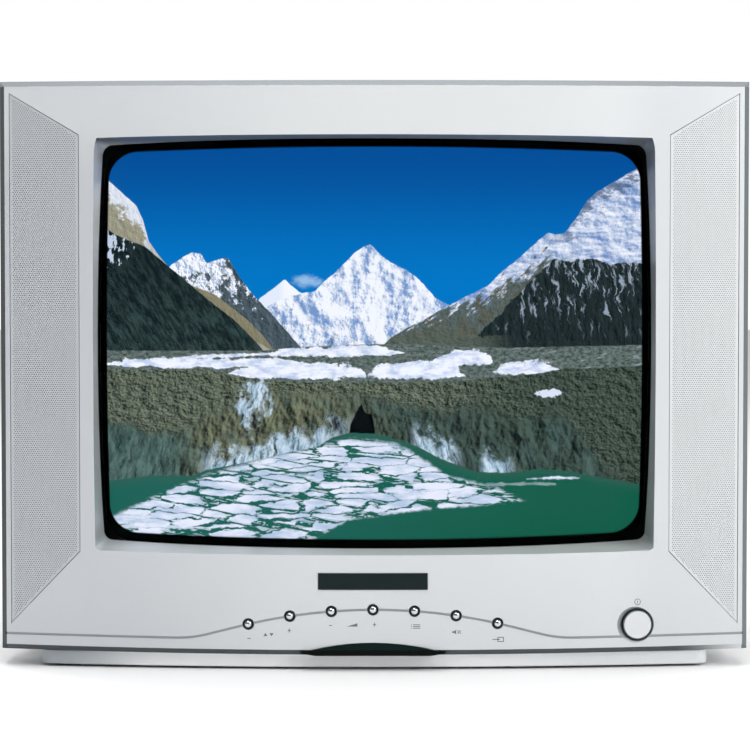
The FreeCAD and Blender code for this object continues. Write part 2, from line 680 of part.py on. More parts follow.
def make_cord_gland():
    """Bush in the mains cord's outlet. Its bore is what the cord passes through."""
    flange = rod_y(9.5, CORD_X, CORD_Z, DECK_BACK, DECK_BACK + 2.2)
    rim = [e for e in flange.Edges if e.BoundBox.YMin > DECK_BACK + 2.1]
    flange = flange.makeFillet(1.0, rim)
    sleeve = rod_y(CORD_HOLE_RADIUS - 0.05, CORD_X, CORD_Z, DECK_BACK - 8, DECK_BACK + 1)
    barb = rod_y(8.4, CORD_X, CORD_Z, DECK_BACK - 5.2, DECK_BACK - CABINET_WALL - 0.1)
    return join(flange, sleeve, barb).cut(rod_y(3.6, CORD_X, CORD_Z, DECK_BACK - 20, DECK_BACK + 20))


# ---- controls ---------------------------------------------------------------------------
CONTROL_BOARD_Y = -171.0
BUTTON_TRAVEL = 0.6
BUTTON_END_Y = -175.8
BUTTON_NAMES = [
    "programme_down_button", "programme_up_button", "volume_down_button",
    "volume_up_button", "menu_button", "mute_button", "input_button",
]
BUTTON_RADIUS = 2.25
POWER_TRAVEL = 3.5
POWER_BACK_Y = -164.0
POWER_FLANGE_Y = POWER_BACK_Y - 2.0
PLUNGER_END_Y = -111.0
SWITCH_FRONT_Y = -118.0


def make_button(x):
    """Domed cap, its stem, and the flange that keeps it behind the frame."""
    z = button_z(x)
    face = front_y(x)
    back = face + WALL
    shaft = rod_y(BUTTON_RADIUS, x, z, face + 0.5, back + 1)
    ball = Part.makeSphere(2.6, V(x, face + 1.5, z))
    dome = ball.common(rod_y(BUTTON_RADIUS, x, z, face - 3, face + 1.0))
    flange = rod_y(3.8, x, z, back + 0.3, back + 1.3)
    stem = rod_y(1.4, x, z, back + 1, BUTTON_END_Y)
    return join(dome, shaft, flange, stem)


def make_power_button():
    cap = rod_y(POWER_CAP_RADIUS, POWER_X, POWER_Z, FRONT_Y - 10, POWER_BACK_Y)
    cap = cap.common(bowed_block(-0.9, -5, POWER_BACK_Y + 5, -5, 60))
    face_edge = [e for e in cap.Edges if e.BoundBox.YMax < -172]
    cap = cap.makeFillet(0.8, face_edge[:1])
    flange = rod_y(9.3, POWER_X, POWER_Z, POWER_FLANGE_Y, POWER_BACK_Y)
    hollow = rod_y(6.0, POWER_X, POWER_Z, -173, POWER_FLANGE_Y)
    return join(cap.cut(hollow), flange)


def make_power_plunger():
    rod = block(POWER_X - 2, POWER_X + 2, POWER_BACK_Y, PLUNGER_END_Y, POWER_Z - 2, POWER_Z + 2)
    spigot = rod_y(3.4, POWER_X, POWER_Z, POWER_BACK_Y, POWER_BACK_Y + 3)
    return join(rod, spigot)


def make_power_switch():
    """Latching mains switch on the board's front edge."""
    body = block(POWER_X - 7, POWER_X + 7, SWITCH_FRONT_Y, SWITCH_FRONT_Y + 26, BOARD_TOP, 31.0)
    way = block(POWER_X - 2.2, POWER_X + 2.2, SWITCH_FRONT_Y - 1, PLUNGER_END_Y + POWER_TRAVEL + 2,
                POWER_Z - 2.2, POWER_Z + 2.2)
    collar = block(POWER_X - 4, POWER_X + 4, SWITCH_FRONT_Y - 2.5, SWITCH_FRONT_Y,
                   POWER_Z - 4, POWER_Z + 4)
    return join(body, collar).cut(way.fuse(way.translated(V(0, -3, 0))))


def make_control_board():
    board = block(-80, 80, CONTROL_BOARD_Y, CONTROL_BOARD_Y + BOARD_THICK, 16.0, 38.0)
    holes = [
        rod_y(SCREW_CLEAR, x, z, CONTROL_BOARD_Y - 2, CONTROL_BOARD_Y + 4) for x, z in CONTROL_SCREWS
    ]
    return board.cut(holes)


def make_control_switches():
    """Seven push switches, and the remote-control receiver in the middle."""
    parts = []
    for x in BUTTON_X:
        z = button_z(x)
        case = block(x - 3, x + 3, CONTROL_BOARD_Y - 3.3, CONTROL_BOARD_Y, z - 3, z + 3)
        nub = rod_y(1.7, x, z, BUTTON_END_Y + BUTTON_TRAVEL + 0.1, CONTROL_BOARD_Y - 3.0)
        parts.append(join(case, nub))
    receiver = block(-12.5, -7.5, CONTROL_BOARD_Y - 4.5, CONTROL_BOARD_Y, 16.4, 22.8)
    eye = rod_y(2.0, -10.0, 19.4, CONTROL_BOARD_Y - 5.9, CONTROL_BOARD_Y - 4.0)
    parts.append(join(receiver, eye))
    return group(parts)


# ---- picture tube -----------------------------------------------------------------------
PANEL_HALF_W, PANEL_HALF_H, PANEL_BOW, PANEL_CORNER = 153.5, 117.0, 3.0, 22.0
CAVITY_HALF_W, CAVITY_HALF_H, CAVITY_CORNER = 145.0, 108.2, 14.0
INNER_RADIUS = FACE_RADIUS - FACE_THICK
FUNNEL = [  # y, half width, half height, corner radius
    (PANEL_BACK, 152.5, 116.0, 22.0),
    (-75.0, 128.0, 100.0, 44.0),
    (-30.0, 84.0, 72.0, 60.0),
    (8.0, 47.0, 47.0, 46.9),
]
THROAT = [(8.0, 47.0), (22.0, 36.0), (36.0, 25.0), (50.0, 15.5), (NECK_START, NECK_RADIUS)]
FUNNEL_WALL = 3.0
NECK_WALL = 1.5
BAND_FRONT, BAND_BACK, BAND_THICK = -150.0, -124.0, 1.2


def face_ball(radius):
    """Ball whose front is the tube's face, or a layer inside it."""
    return Part.makeSphere(radius, V(0, GLASS_FRONT_Y + FACE_RADIUS, SCREEN_Z))


def make_faceplate():
    skirt = screen_prism(PANEL_HALF_W, PANEL_HALF_H, PANEL_BOW, PANEL_CORNER, -190, PANEL_BACK)
    cavity = screen_prism(CAVITY_HALF_W, CAVITY_HALF_H, PANEL_BOW, CAVITY_CORNER, -190, PANEL_BACK + 1)
    return skirt.common(face_ball(FACE_RADIUS)).cut(cavity.common(face_ball(INNER_RADIUS)))


def inside_face(clear, near, far, shrink):
    """Curved sheet behind the face, between two distances from its inner surface."""
    prism = screen_prism(CAVITY_HALF_W - shrink, CAVITY_HALF_H - shrink, PANEL_BOW,
                         CAVITY_CORNER, -180, PANEL_BACK - clear)
    sheet = prism.common(face_ball(INNER_RADIUS - near))
    return sheet.cut(face_ball(INNER_RADIUS - far))


def make_phosphor():
    return inside_face(0, 0.1, 0.6, 0.2)


def make_shadow_mask():
    return inside_face(0, 12.0, 12.5, 7.0)


def make_mask_frame():
    """Welded ring of L section behind the mask, carried on four spring hooks."""
    outer = screen_prism(141.0, 104.2, PANEL_BOW, 12.0, -128, -116)
    hole = screen_prism(139.4, 102.6, PANEL_BOW, 11.0, -130, -117.6)
    mouth = screen_prism(128.0, 91.0, PANEL_BOW, 10.0, -130, -110)
    ring = outer.cut([hole, mouth])
    hooks = []
    for x0, x1, z0, z1 in ((-144, -141.2, -10, 10), (141.2, 144, -10, 10)):
        hooks.append(block(x0, x1, -127, -118, SCREEN_Z + z0, SCREEN_Z + z1))
    for z0, z1 in ((104.4, 107.2), (-107.2, -104.4)):
        hooks.append(block(-10, 10, -127, -118, SCREEN_Z + z0, SCREEN_Z + z1))
    return group([ring] + hooks)


def funnel_body(inset):
    wires = []
    for i, (y, half_w, half_h, corner) in enumerate(FUNNEL):
        if inset and i == 0:
            y -= 1
        wires.append(rounded_wire(half_w - inset, SCREEN_Z - half_h + inset,
                                  SCREEN_Z + half_h - inset, corner - inset, y))
    throat = [(THROAT[0][0] - 0.5, 0)] + [(y, r - inset) for y, r in THROAT]
    throat[1] = (THROAT[0][0] - 0.5, throat[1][1])
    throat.append((NECK_START + (1 if inset else 0), throat[-1][1]))
    throat.append((NECK_START + (1 if inset else 0), 0))
    return join(loft(wires), spun(throat if inset else throat[:-2] + [(NECK_START, 0)]))


def make_funnel(outside):
    inside = funnel_body(FUNNEL_WALL)
    bore = rod_y(NECK_RADIUS - NECK_WALL, 0, SCREEN_Z, 40, NECK_START + 5)
    return outside.cut([inside, bore])


def make_neck():
    neck = tube_y(NECK_RADIUS, NECK_RADIUS - NECK_WALL, 0, SCREEN_Z, NECK_START, NECK_END - 2)
    stem = rod_y(NECK_RADIUS, 0, SCREEN_Z, NECK_END - 2, NECK_END)
    return join(neck, stem)


def make_tube_base():
    """Keyed plastic base with ten pins."""
    base = rod_y(NECK_RADIUS + 0.6, 0, SCREEN_Z, NECK_END, NECK_END + 4)
    pins = []
    for i in range(10):
        angle = math.radians(30 + i * 32)
        x, z = 7.2 * math.sin(angle), SCREEN_Z + 7.2 * math.cos(angle)
        pins.append(rod_y(0.5, x, z, NECK_END + 3, NECK_END + 12))
    return join(base, *pins)


def make_electron_gun():
    """Three cathodes, the grid cups and the bead rods that hold them in line."""
    cups = [(142, 146.5, 6.0), (136, 140, 6.0), (124, 133, 6.6), (106, 121, 6.6), (82, 103, 6.6)]
    parts = []
    for y0, y1, radius in cups:
        cup = rod_y(radius, 0, SCREEN_Z, y0, y1)
        holes = [rod_y(1.2, x, SCREEN_Z, y0 - 1, y1 + 1) for x in (-3.6, 0, 3.6)]
        parts.append(cup.cut(holes))
    for z in (-1, 1):
        parts.append(block(-2.2, 2.2, 84, 145, SCREEN_Z + z * 8.0 - 1.1, SCREEN_Z + z * 8.0 + 1.1))
    return group(parts)


def make_tension_band():
    """Steel band shrunk round the glass, with a lug at each corner."""
    outer = screen_prism(PANEL_HALF_W + BAND_THICK, PANEL_HALF_H + BAND_THICK, PANEL_BOW,
                         PANEL_CORNER + BAND_THICK, BAND_FRONT, BAND_BACK)
    glass = screen_prism(PANEL_HALF_W, PANEL_HALF_H, PANEL_BOW, PANEL_CORNER,
                         BAND_FRONT - 1, BAND_BACK + 1)
    lugs = []
    for sx in (-1, 1):
        for sz in (-1, 1):
            x, z = sx * TUBE_POST_X, SCREEN_Z + sz * TUBE_POST_Z
            plate = rod_y(7.5, x, z, LUG_FRONT, LUG_FRONT + LUG_THICK)
            inward_x, inward_z = sx * 142.0, SCREEN_Z + sz * 106.0
            across = V(z - inward_z, 0, inward_x - x)
            across.normalize()
            corners = [
                (x + across.x * 7.5, z + across.z * 7.5),
                (x - across.x * 7.5, z - across.z * 7.5),
                (inward_x - across.x * 12, inward_z - across.z * 12),
                (inward_x + across.x * 12, inward_z + across.z * 12),
            ]
            lug = join(plate, polygon_xz(corners, LUG_FRONT, LUG_FRONT + LUG_THICK))
            lugs.append(lug.cut([glass, rod_y(2.4, x, z, LUG_FRONT - 5, LUG_FRONT + 5)]))
    return join(outer.cut(glass), *lugs)


def make_degauss_coil():
    half_w, half_h, corner, y = 157.0, 116.0, 34.0, -98.0
    x, z = half_w - corner, half_h - corner
    k = corner * math.sqrt(0.5)
    edges = []
    spots = [(1, 1), (1, -1), (-1, -1), (-1, 1)]

    def p(px, pz):
        return V(px, y, SCREEN_Z + pz)

    for i, (sx, sz) in enumerate(spots):
        nx, nz = spots[(i + 1) % 4]
        if sx == sz:
            a, c = p(sx * x, sz * half_h), p(sx * half_w, sz * z)
        else:
            a, c = p(sx * half_w, sz * z), p(sx * x, sz * half_h)
        edges.append(Part.Arc(a, p(sx * (x + k), sz * (z + k)), c).toShape())
        if nx == sx:
            edges.append(Part.makeLine(c, p(nx * half_w, nz * z)))
        else:
            edges.append(Part.makeLine(c, p(nx * x, nz * half_h)))
    path = Part.Wire(Part.sortEdges(edges)[0])
    first = path.Edges[0]
    section = Part.makeCircle(5.0, first.Vertexes[0].Point, first.tangentAt(first.FirstParameter))
    return path.makePipeShell([Part.Wire([section])], True, False, 2)


ANODE_Y = -52.0


def anode_place():
    """Seat of the anode cap on the funnel's upper side, and the outward direction there."""
    (y0, _, h0, _), (y1, _, h1, _) = FUNNEL[1], FUNNEL[2]
    z = SCREEN_Z + h0 + (h1 - h0) * (ANODE_Y - y0) / (y1 - y0)
    out = V(0, h0 - h1, y1 - y0)
    out.normalize()
    return V(0, ANODE_Y, z), out


def make_anode_cap(outside):
    seat, out = anode_place()
    disc = Part.makeCylinder(17.0, 4.5, seat - out * 2.5, out)
    dome = Part.makeCone(15.0, 7.5, 4.0, seat + out * 1.9, out)
    boot = Part.makeCylinder(3.6, 14.0, seat + out * 3.2 + V(4.0, 0, 0), V(1, 0, 0))
    return join(disc, dome, boot).cut(outside)


FLYBACK_X, FLYBACK_Y = 90.0, 52.0
FLYBACK_TOP = 82.0


def make_anode_lead():
    seat, out = anode_place()
    start = seat + out * 3.2 + V(18.0, 0, 0)
    points = [
        (start.x, start.y, start.z),
        (52, start.y, start.z),
        (98, -36, 242),
        (118, -8, 198),
        (112, 26, 152),
        (FLYBACK_X, FLYBACK_Y, 120),
        (FLYBACK_X, FLYBACK_Y, FLYBACK_TOP + 1.2),
    ]
    return cable(points, 2.4)


# ---- deflection yoke and magnets ----------------------------------------------------------


def shells(inner, outer, y_end, start=0.0, angle=360.0):
    """Layer that follows the throat, between two clearances outside the glass."""
    line = [(y, r) for y, r in THROAT if y <= y_end]
    near = [(y, r + inner) for y, r in line]
    far = [(y, r + outer) for y, r in line]
    near.append((y_end, THROAT[-1][1] + inner))
    far.append((y_end, THROAT[-1][1] + outer))
    return spun(near + far[::-1], start, angle)


YOKE_END = 74.0


def make_yoke_liner():
    """Plastic separator between the two pairs of coils, with a flange at each end."""
    body = shells(3.9, 5.4, YOKE_END)
    front = spun([(8.0, 51.5), (8.0, 62.0), (10.5, 62.0), (10.5, 51.0)])
    rear = spun([(YOKE_END - 2, 15.5), (YOKE_END - 2, 30.0), (YOKE_END, 30.0), (YOKE_END, 15.5)])
    return join(body, front, rear)


def make_yoke_coils():
    """Two saddle coils inside the separator and two outside it."""
    parts = []
    for start in (-84, 96):
        parts.append(shells(0.6, 3.7, 70.0, start, 168))
    for start in (6, 186):
        winding = [(16.0, 47.5), (16.0, 56.0), (58.0, 24.0), (58.0, 18.6), (50.2, 21.1),
                   (36.2, 30.6), (22.2, 41.6)]
        parts.append(spun(winding, start, 168))
    return group(parts)


def make_yoke_core():
    """Ferrite ring clamped round the outer coils."""
    return spun([(22.0, 52.4), (22.0, 60.0), (28.0, 60.0), (54.0, 40.0), (54.0, 28.4)])


RING_SLEEVE_RADIUS = 13.5
RING_NAMES = ["purity_ring_front", "purity_ring_rear", "four_pole_ring_front",
              "four_pole_ring_rear", "six_pole_ring_front", "six_pole_ring_rear"]
RING_Y = [90.0, 92.0, 97.0, 99.0, 104.0, 106.0]
RING_THICK = 1.6


def make_magnet_holder():
    sleeve = tube_y(RING_SLEEVE_RADIUS, NECK_RADIUS + 0.05, 0, SCREEN_Z, 78, 116)
    clamp = tube_y(16.5, NECK_RADIUS + 0.05, 0, SCREEN_Z, 78, 86)
    ears = block(-6, 6, 78.5, 85.5, SCREEN_Z + 14, SCREEN_Z + 24)
    gap = block(-1, 1, 77, 88, SCREEN_Z + 10, SCREEN_Z + 30)
    bolt = Part.makeCylinder(1.6, 20, V(-10, 82, SCREEN_Z + 20), V(1, 0, 0))
    stops = [tube_y(17.0, RING_SLEEVE_RADIUS - 0.5, 0, SCREEN_Z, y, y + 2.0)
             for y in (94.6, 101.6, 108.6)]
    body = join(sleeve, clamp, ears, *stops)
    return join(body.cut(gap), bolt)


def make_magnet_ring(y, turn):
    """Flat magnet ring with two finger tabs."""
    ring = tube_y(19.5, RING_SLEEVE_RADIUS + 0.05, 0, SCREEN_Z, y, y + RING_THICK)
    tabs = block(-3.2, 3.2, y, y + RING_THICK, SCREEN_Z + 18.5, SCREEN_Z + 27)
    other = block(-2.2, 2.2, y, y + RING_THICK, SCREEN_Z - 23, SCREEN_Z - 18.5)
    whole = join(ring, tabs, other)
    whole.rotate(V(0, 0, SCREEN_Z), V(0, 1, 0), turn)
    return whole


def make_tube_socket():
    """Socket on the neck board that the tube's pins go into."""
    y0 = NECK_END + 4.2
    body = rod_y(17.0, 0, SCREEN_Z, y0, 164)
    skirt = tube_y(20.0, 17.0, 0, SCREEN_Z, 159, 164)
    holes = []
    for i in range(10):
        angle = math.radians(30 + i * 32)
        x, z = 7.2 * math.sin(angle), SCREEN_Z + 7.2 * math.cos(angle)
        holes.append(rod_y(0.6, x, z, y0 - 1, 163))
    return join(body, skirt).cut(holes)


def make_neck_board():
    return block(-40, 40, 164, 165.6, SCREEN_Z - 38, SCREEN_Z + 36)


# ---- main board ---------------------------------------------------------------------------


def make_main_board():
    board = block(-156, 156, SWITCH_FRONT_Y, 128, BOARD_TOP - BOARD_THICK, BOARD_TOP)
    return board.cut([rod_z(SCREW_CLEAR, x, y, 10, 20) for x, y in BOARD_SCREWS])


def make_flyback():
    """Potted line-output transformer, and the ferrite core through it."""
    pot = rod_z(19.0, FLYBACK_X, FLYBACK_Y, BOARD_TOP, FLYBACK_TOP)
    face = block(FLYBACK_X - 15, FLYBACK_X + 15, FLYBACK_Y + 5, FLYBACK_Y + 24, BOARD_TOP, 76)
    nose = rod_z(5.0, FLYBACK_X, FLYBACK_Y, FLYBACK_TOP - 1, FLYBACK_TOP + 1.2)
    body = join(pot, face, nose)
    sockets = [rod_y(2.0, FLYBACK_X, z, FLYBACK_Y + 18, FLYBACK_Y + 25) for z in (44, 62)]
    x0 = FLYBACK_X - 34
    core = block(x0, FLYBACK_X, FLYBACK_Y - 7, FLYBACK_Y + 7, 24, 74)
    core = core.cut(block(x0 + 9, FLYBACK_X + 1, FLYBACK_Y - 10, FLYBACK_Y + 10, 34, 64))
    return group([body.cut(sockets), core.cut(pot)])


def make_flyback_knob(z):
    """Slotted adjuster: knob outside, spindle in the transformer's socket."""
    seat = FLYBACK_Y + 24
    knob = rod_y(5.5, FLYBACK_X, z, seat + 0.3, seat + 8)
    spindle = rod_y(1.95, FLYBACK_X, z, seat - 5.5, seat + 1)
    slot = block(FLYBACK_X - 3.5, FLYBACK_X + 3.5, seat + 6.5, seat + 9, z - 0.6, z + 0.6)
    pointer = block(FLYBACK_X - 0.6, FLYBACK_X + 0.6, seat + 1, seat + 7, z + 5, z + 7)
    return join(knob, spindle, pointer).cut(slot)


def make_tuner():
    """Screened tuner box; its aerial socket reaches through the cabinet."""
    can = block(AERIAL_X - 14, AERIAL_X + 30, 112, 140, BOARD_TOP, 56)
    shank = rod_y(6.2, AERIAL_X, AERIAL_Z, 139, DECK_BACK + 9)
    body = join(can, shank).cut(rod_y(4.8, AERIAL_X, AERIAL_Z, DECK_BACK - 2, DECK_BACK + 12))
    contact = rod_y(1.9, AERIAL_X, AERIAL_Z, DECK_BACK - 3, DECK_BACK + 8.5)
    contact = contact.cut(rod_y(1.2, AERIAL_X, AERIAL_Z, DECK_BACK, DECK_BACK + 12))
    return join(body, contact)


def make_jack_panel():
    """Moulded block that holds the audio and video sockets."""
    x0, x1 = JACK_X[0] - 11, JACK_X[-1] + 11
    block_body = block(x0, x1, 120, DECK_BACK - CABINET_WALL - 0.2, BOARD_TOP, 56)
    return block_body.cut([rod_y(4.2, x, JACK_Z, 130, 160) for x in JACK_X])


def make_av_jacks():
    """Three phono sockets: a barrel each, with a hole for the plug's pin."""
    jacks = []
    for x in JACK_X:
        barrel = rod_y(4.15, x, JACK_Z, 130, DECK_BACK + 9)
        collar = rod_y(5.6, x, JACK_Z, DECK_BACK - CABINET_WALL, DECK_BACK + 0.6)
        jacks.append(join(barrel, collar).cut(rod_y(1.65, x, JACK_Z, DECK_BACK - 3, DECK_BACK + 12)))
    return group(jacks)


def make_heatsink():
    plate = block(-130, -126, -20, 60, BOARD_TOP, 66)
    fins = [block(-126.5, -112, y, y + 1.8, BOARD_TOP, 66) for y in range(-20, 60, 8)]
    return join(plate, *fins)


def make_power_transformer():
    """Switching transformer: ferrite frame and wound bobbin."""
    frame = block(40, 84, -70, -34, BOARD_TOP + 6, 47)
    frame = frame.cut(block(49, 75, -75, -30, BOARD_TOP + 14, 40))
    bobbin = block(49.2, 74.8, -72, -32, BOARD_TOP + 14.2, 39.8)
    foot = block(46, 78, -74, -30, BOARD_TOP, BOARD_TOP + 5.8)
    return group([frame, bobbin, foot])


def make_board_components():
    """Capacitors, chips, chokes and connectors that stand on the main board."""
    parts = [rod_z(11, 108, -62, BOARD_TOP, 48)]
    for x, y, radius, height in (
        (84, -14, 6.5, 22), (100, -14, 6.5, 22), (60, 8, 5, 16), (72, 8, 5, 16),
        (-20, 40, 5, 14), (-34, 40, 4, 12), (-48, 60, 5, 16), (20, 84, 4, 12),
        (-96, -60, 8, 26), (-96, -84, 8, 26), (6, -60, 5, 14), (-10, -86, 4, 12),
    ):
        parts.append(rod_z(radius, x, y, BOARD_TOP, BOARD_TOP + height))
    for x, y, length, width in ((-60, -40, 52, 16), (-40, 0, 38, 12), (-80, 96, 20, 9)):
        parts.append(block(x, x + length, y, y + width, BOARD_TOP + 1, BOARD_TOP + 5))
    for y in (-8, 14, 36):
        parts.append(block(-135.2, -130.2, y, y + 12, BOARD_TOP + 6, BOARD_TOP + 26))
    for x, y in ((0, -104), (40, -104), (-60, -104), (-100, 70), (60, 100), (-110, 110)):
        parts.append(block(x, x + 15, y, y + 6, BOARD_TOP, BOARD_TOP + 8))
    parts.append(block(112, 134, -96 + 14, -96 + 20, BOARD_TOP, BOARD_TOP + 10))
    return group(parts)


# ---- loudspeakers ---------------------------------------------------------------------------


def make_speaker_frames():
    frames = []
    for side in (-1, 1):
        x = side * SPEAKER_X
        flange = stadium_prism(x, SCREEN_Z, 15.0, 42.0, SPEAKER_PLANE, SPEAKER_PLANE + 1.5)
        outer = loft([stadium_wire(x, SCREEN_Z, 14.0, 40.0, SPEAKER_PLANE + 1),
                      stadium_wire(x, SCREEN_Z, 12.0, 16.0, SPEAKER_PLANE + 19)])
        inner = loft([stadium_wire(x, SCREEN_Z, 13.0, 39.0, SPEAKER_PLANE - 1),
                      stadium_wire(x, SCREEN_Z, 10.8, 14.8, SPEAKER_PLANE + 17.6)])
        windows = [block(x - 30, x + 30, SPEAKER_PLANE + 6, SPEAKER_PLANE + 13,
                         SCREEN_Z + dz - 7, SCREEN_Z + dz + 7) for dz in (-16, 16)]
        hole = rod_y(8.0, x, SCREEN_Z, SPEAKER_PLANE + 16, SPEAKER_PLANE + 22)
        frames.append(join(flange, outer).cut([inner, hole] + windows))
    return group(frames)


def make_speaker_cones():
    cones = []
    for side in (-1, 1):
        x = side * SPEAKER_X
        outer = loft([stadium_wire(x, SCREEN_Z, 12.5, 36.8, SPEAKER_PLANE + 0.2),
                      stadium_wire(x, SCREEN_Z, 6.0, 6.2, SPEAKER_PLANE + 12)])
        inner = loft([stadium_wire(x, SCREEN_Z, 12.0, 36.3, SPEAKER_PLANE - 0.4),
                      stadium_wire(x, SCREEN_Z, 5.4, 5.6, SPEAKER_PLANE + 11.4)])
        coil = tube_y(6.0, 5.5, x, SCREEN_Z, SPEAKER_PLANE + 11.5, SPEAKER_PLANE + 17)
        cones.append(join(outer.cut(inner), coil))
    return group(cones)


def make_speaker_magnets():
    magnets = []
    for side in (-1, 1):
        x = side * SPEAKER_X
        plate = rod_y(11.5, x, SCREEN_Z, SPEAKER_PLANE + 19, SPEAKER_PLANE + 21)
        ring = rod_y(13.0, x, SCREEN_Z, SPEAKER_PLANE + 21, SPEAKER_PLANE + 29)
        back = rod_y(11.5, x, SCREEN_Z, SPEAKER_PLANE + 29, SPEAKER_PLANE + 31.5)
        magnets.append(join(plate, ring, back))
    return group(magnets)


def make_wiring():
    """Leads to the yoke, the neck board, the degaussing coil and the control board."""
    plug_top = BOARD_TOP + 8
    control_back = CONTROL_BOARD_Y + BOARD_THICK
    return group([
        cable([(-92, 73, plug_top), (-92, 73, 58), (-76, 58, 88), (-54, 36, 112), (-38, 14, 128)], 1.8),
        cable([(-30, 164, 138), (-30, 146, 138), (-36, 126, 118), (-46, 104, 96),
               (-60, 95, 68), (-70, 100.5, 44), (-70, 100.5, BOARD_TOP + 5)], 1.8),
        cable([(8, -98, plug_top), (8, -98, 36), (10, -98, 43), (10, -98, 49.4)], 1.5),
        cable([(-52, -101, plug_top), (-52, -101, 44), (-46, -126, 52), (-34, -150, 44),
               (-30, -156, 27), (-30, control_back, 27)], 1.4),
    ])


def main():
    save("front_bezel", make_front_frame())
    save("speaker_grille_left", make_grille(-1))
    save("speaker_grille_right", make_grille(1))
    save("remote_window", make_remote_window())
    save("badge_plate", make_badge())
    save("rear_cabinet", make_rear_cabinet())
    save("base_plinth", make_base())
    save("rubber_feet", make_feet())
    save("screws", make_screws())
    save("cord_gland", make_cord_gland())

    for name, x in zip(BUTTON_NAMES, BUTTON_X):
        save(name, make_button(x))
    save("power_button", make_power_button())
    save("power_switch_plunger", make_power_plunger())
    save("power_switch", make_power_switch())
    save("control_board", make_control_board())
    save("control_switches", make_control_switches())

    funnel_outside = funnel_body(0)
    save("crt_faceplate", make_faceplate())
    save("phosphor_screen", make_phosphor())
    save("shadow_mask", make_shadow_mask())
    save("mask_frame", make_mask_frame())
    save("crt_funnel", make_funnel(funnel_outside))
    save("crt_neck", make_neck())
    save("tube_base", make_tube_base())
    save("electron_gun", make_electron_gun())
    save("tension_band", make_tension_band())
    save("degauss_coil", make_degauss_coil())
    save("anode_cap", make_anode_cap(funnel_outside))
    save("anode_lead", make_anode_lead())

    save("yoke_liner", make_yoke_liner())
    save("yoke_coils", make_yoke_coils())
    save("yoke_core", make_yoke_core())
    save("magnet_holder", make_magnet_holder())
    for i, (name, y) in enumerate(zip(RING_NAMES, RING_Y)):
        save(name, make_magnet_ring(y, 150 + (12 if i % 2 else -12)))
    save("tube_socket", make_tube_socket())
    save("neck_board", make_neck_board())

    save("main_board", make_main_board())
    save("flyback_transformer", make_flyback())
    save("focus_knob", make_flyback_knob(62))
    save("screen_voltage_knob", make_flyback_knob(44))
    save("tuner", make_tuner())
    save("jack_panel", make_jack_panel())
    save("av_jacks", make_av_jacks())
    save("heatsink", make_heatsink())
    save("power_transformer", make_power_transformer())
    save("board_components", make_board_components())

    save("speaker_frames", make_speaker_frames())
    save("speaker_cones", make_speaker_cones())
    save("speaker_magnets", make_speaker_magnets())
    save("wiring", make_wiring())


main()
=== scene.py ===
import bpy
import bmesh
import math
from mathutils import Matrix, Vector
from mathutils.geometry import delaunay_2d_cdt


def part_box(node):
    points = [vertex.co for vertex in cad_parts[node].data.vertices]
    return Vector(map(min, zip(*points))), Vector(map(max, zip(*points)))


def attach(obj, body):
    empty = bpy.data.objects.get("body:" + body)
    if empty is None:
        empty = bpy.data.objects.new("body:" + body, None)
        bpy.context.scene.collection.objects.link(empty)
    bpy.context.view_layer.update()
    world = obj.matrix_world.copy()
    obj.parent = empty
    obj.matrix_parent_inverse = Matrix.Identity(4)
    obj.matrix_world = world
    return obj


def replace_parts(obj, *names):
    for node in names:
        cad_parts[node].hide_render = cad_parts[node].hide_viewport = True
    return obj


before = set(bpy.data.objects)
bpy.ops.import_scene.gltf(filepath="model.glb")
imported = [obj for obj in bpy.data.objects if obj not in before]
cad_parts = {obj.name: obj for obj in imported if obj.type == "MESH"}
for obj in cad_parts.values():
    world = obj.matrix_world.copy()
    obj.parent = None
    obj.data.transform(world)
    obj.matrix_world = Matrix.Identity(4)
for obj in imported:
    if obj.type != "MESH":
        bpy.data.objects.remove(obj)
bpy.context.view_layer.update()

# ---- Studio -----------------------------------------------------------------------------
# A white table in a pale room that is dimmer in front of the set. A large soft lamp stands
# high on its right, a small one over its front, and weaker ones above and behind. The
# camera is far off, a little above the set's middle, and looks down slightly.
MM = 0.001


def srgb(red, green, blue):
    """A colour on the 0 to 255 scale, as light."""
    def light(c):
        c /= 255
        return c / 12.92 if c <= 0.04045 else ((c + 0.055) / 1.055) ** 2.4
    return (light(red), light(green), light(blue), 1.0)


class Socket:
    """A value, vector or colour inside a finish. Arithmetic on it adds Math nodes."""

    def __init__(self, finish, output):
        self.finish = finish
        self.output = output

    def maths(self, operation, *values):
        return self.finish.node("Math", {"operation": operation}, dict(enumerate(values)))

    def __add__(self, other):
        return self.maths("ADD", self, other)

    def __sub__(self, other):
        return self.maths("SUBTRACT", self, other)

    def __rsub__(self, other):
        return self.maths("SUBTRACT", other, self)

    def __mul__(self, other):
        return self.maths("MULTIPLY", self, other)

    def __truediv__(self, other):
        return self.maths("DIVIDE", self, other)

    def __pow__(self, other):
        return self.maths("POWER", self, other)

    def __lt__(self, other):
        return self.maths("LESS_THAN", self, other)

    def __gt__(self, other):
        return self.maths("GREATER_THAN", self, other)

    def __abs__(self):
        return self.maths("ABSOLUTE", self)

    __radd__ = __add__
    __rmul__ = __mul__

    def over(self, other):
        """The larger of the two."""
        return self.maths("MAXIMUM", self, other)

    def under(self, other):
        """The smaller of the two."""
        return self.maths("MINIMUM", self, other)

    def sine(self):
        return self.maths("SINE", self)

    def within(self, low, high):
        """1 between the two values and 0 outside them."""
        return (self > low) * (self < high)

    def rise(self, start, end):
        """0 at start and 1 at end, eased between and level beyond."""
        inputs = {"Value": self, "From Min": start, "From Max": end}
        return self.finish.node("MapRange", {"interpolation_type": "SMOOTHSTEP"}, inputs)


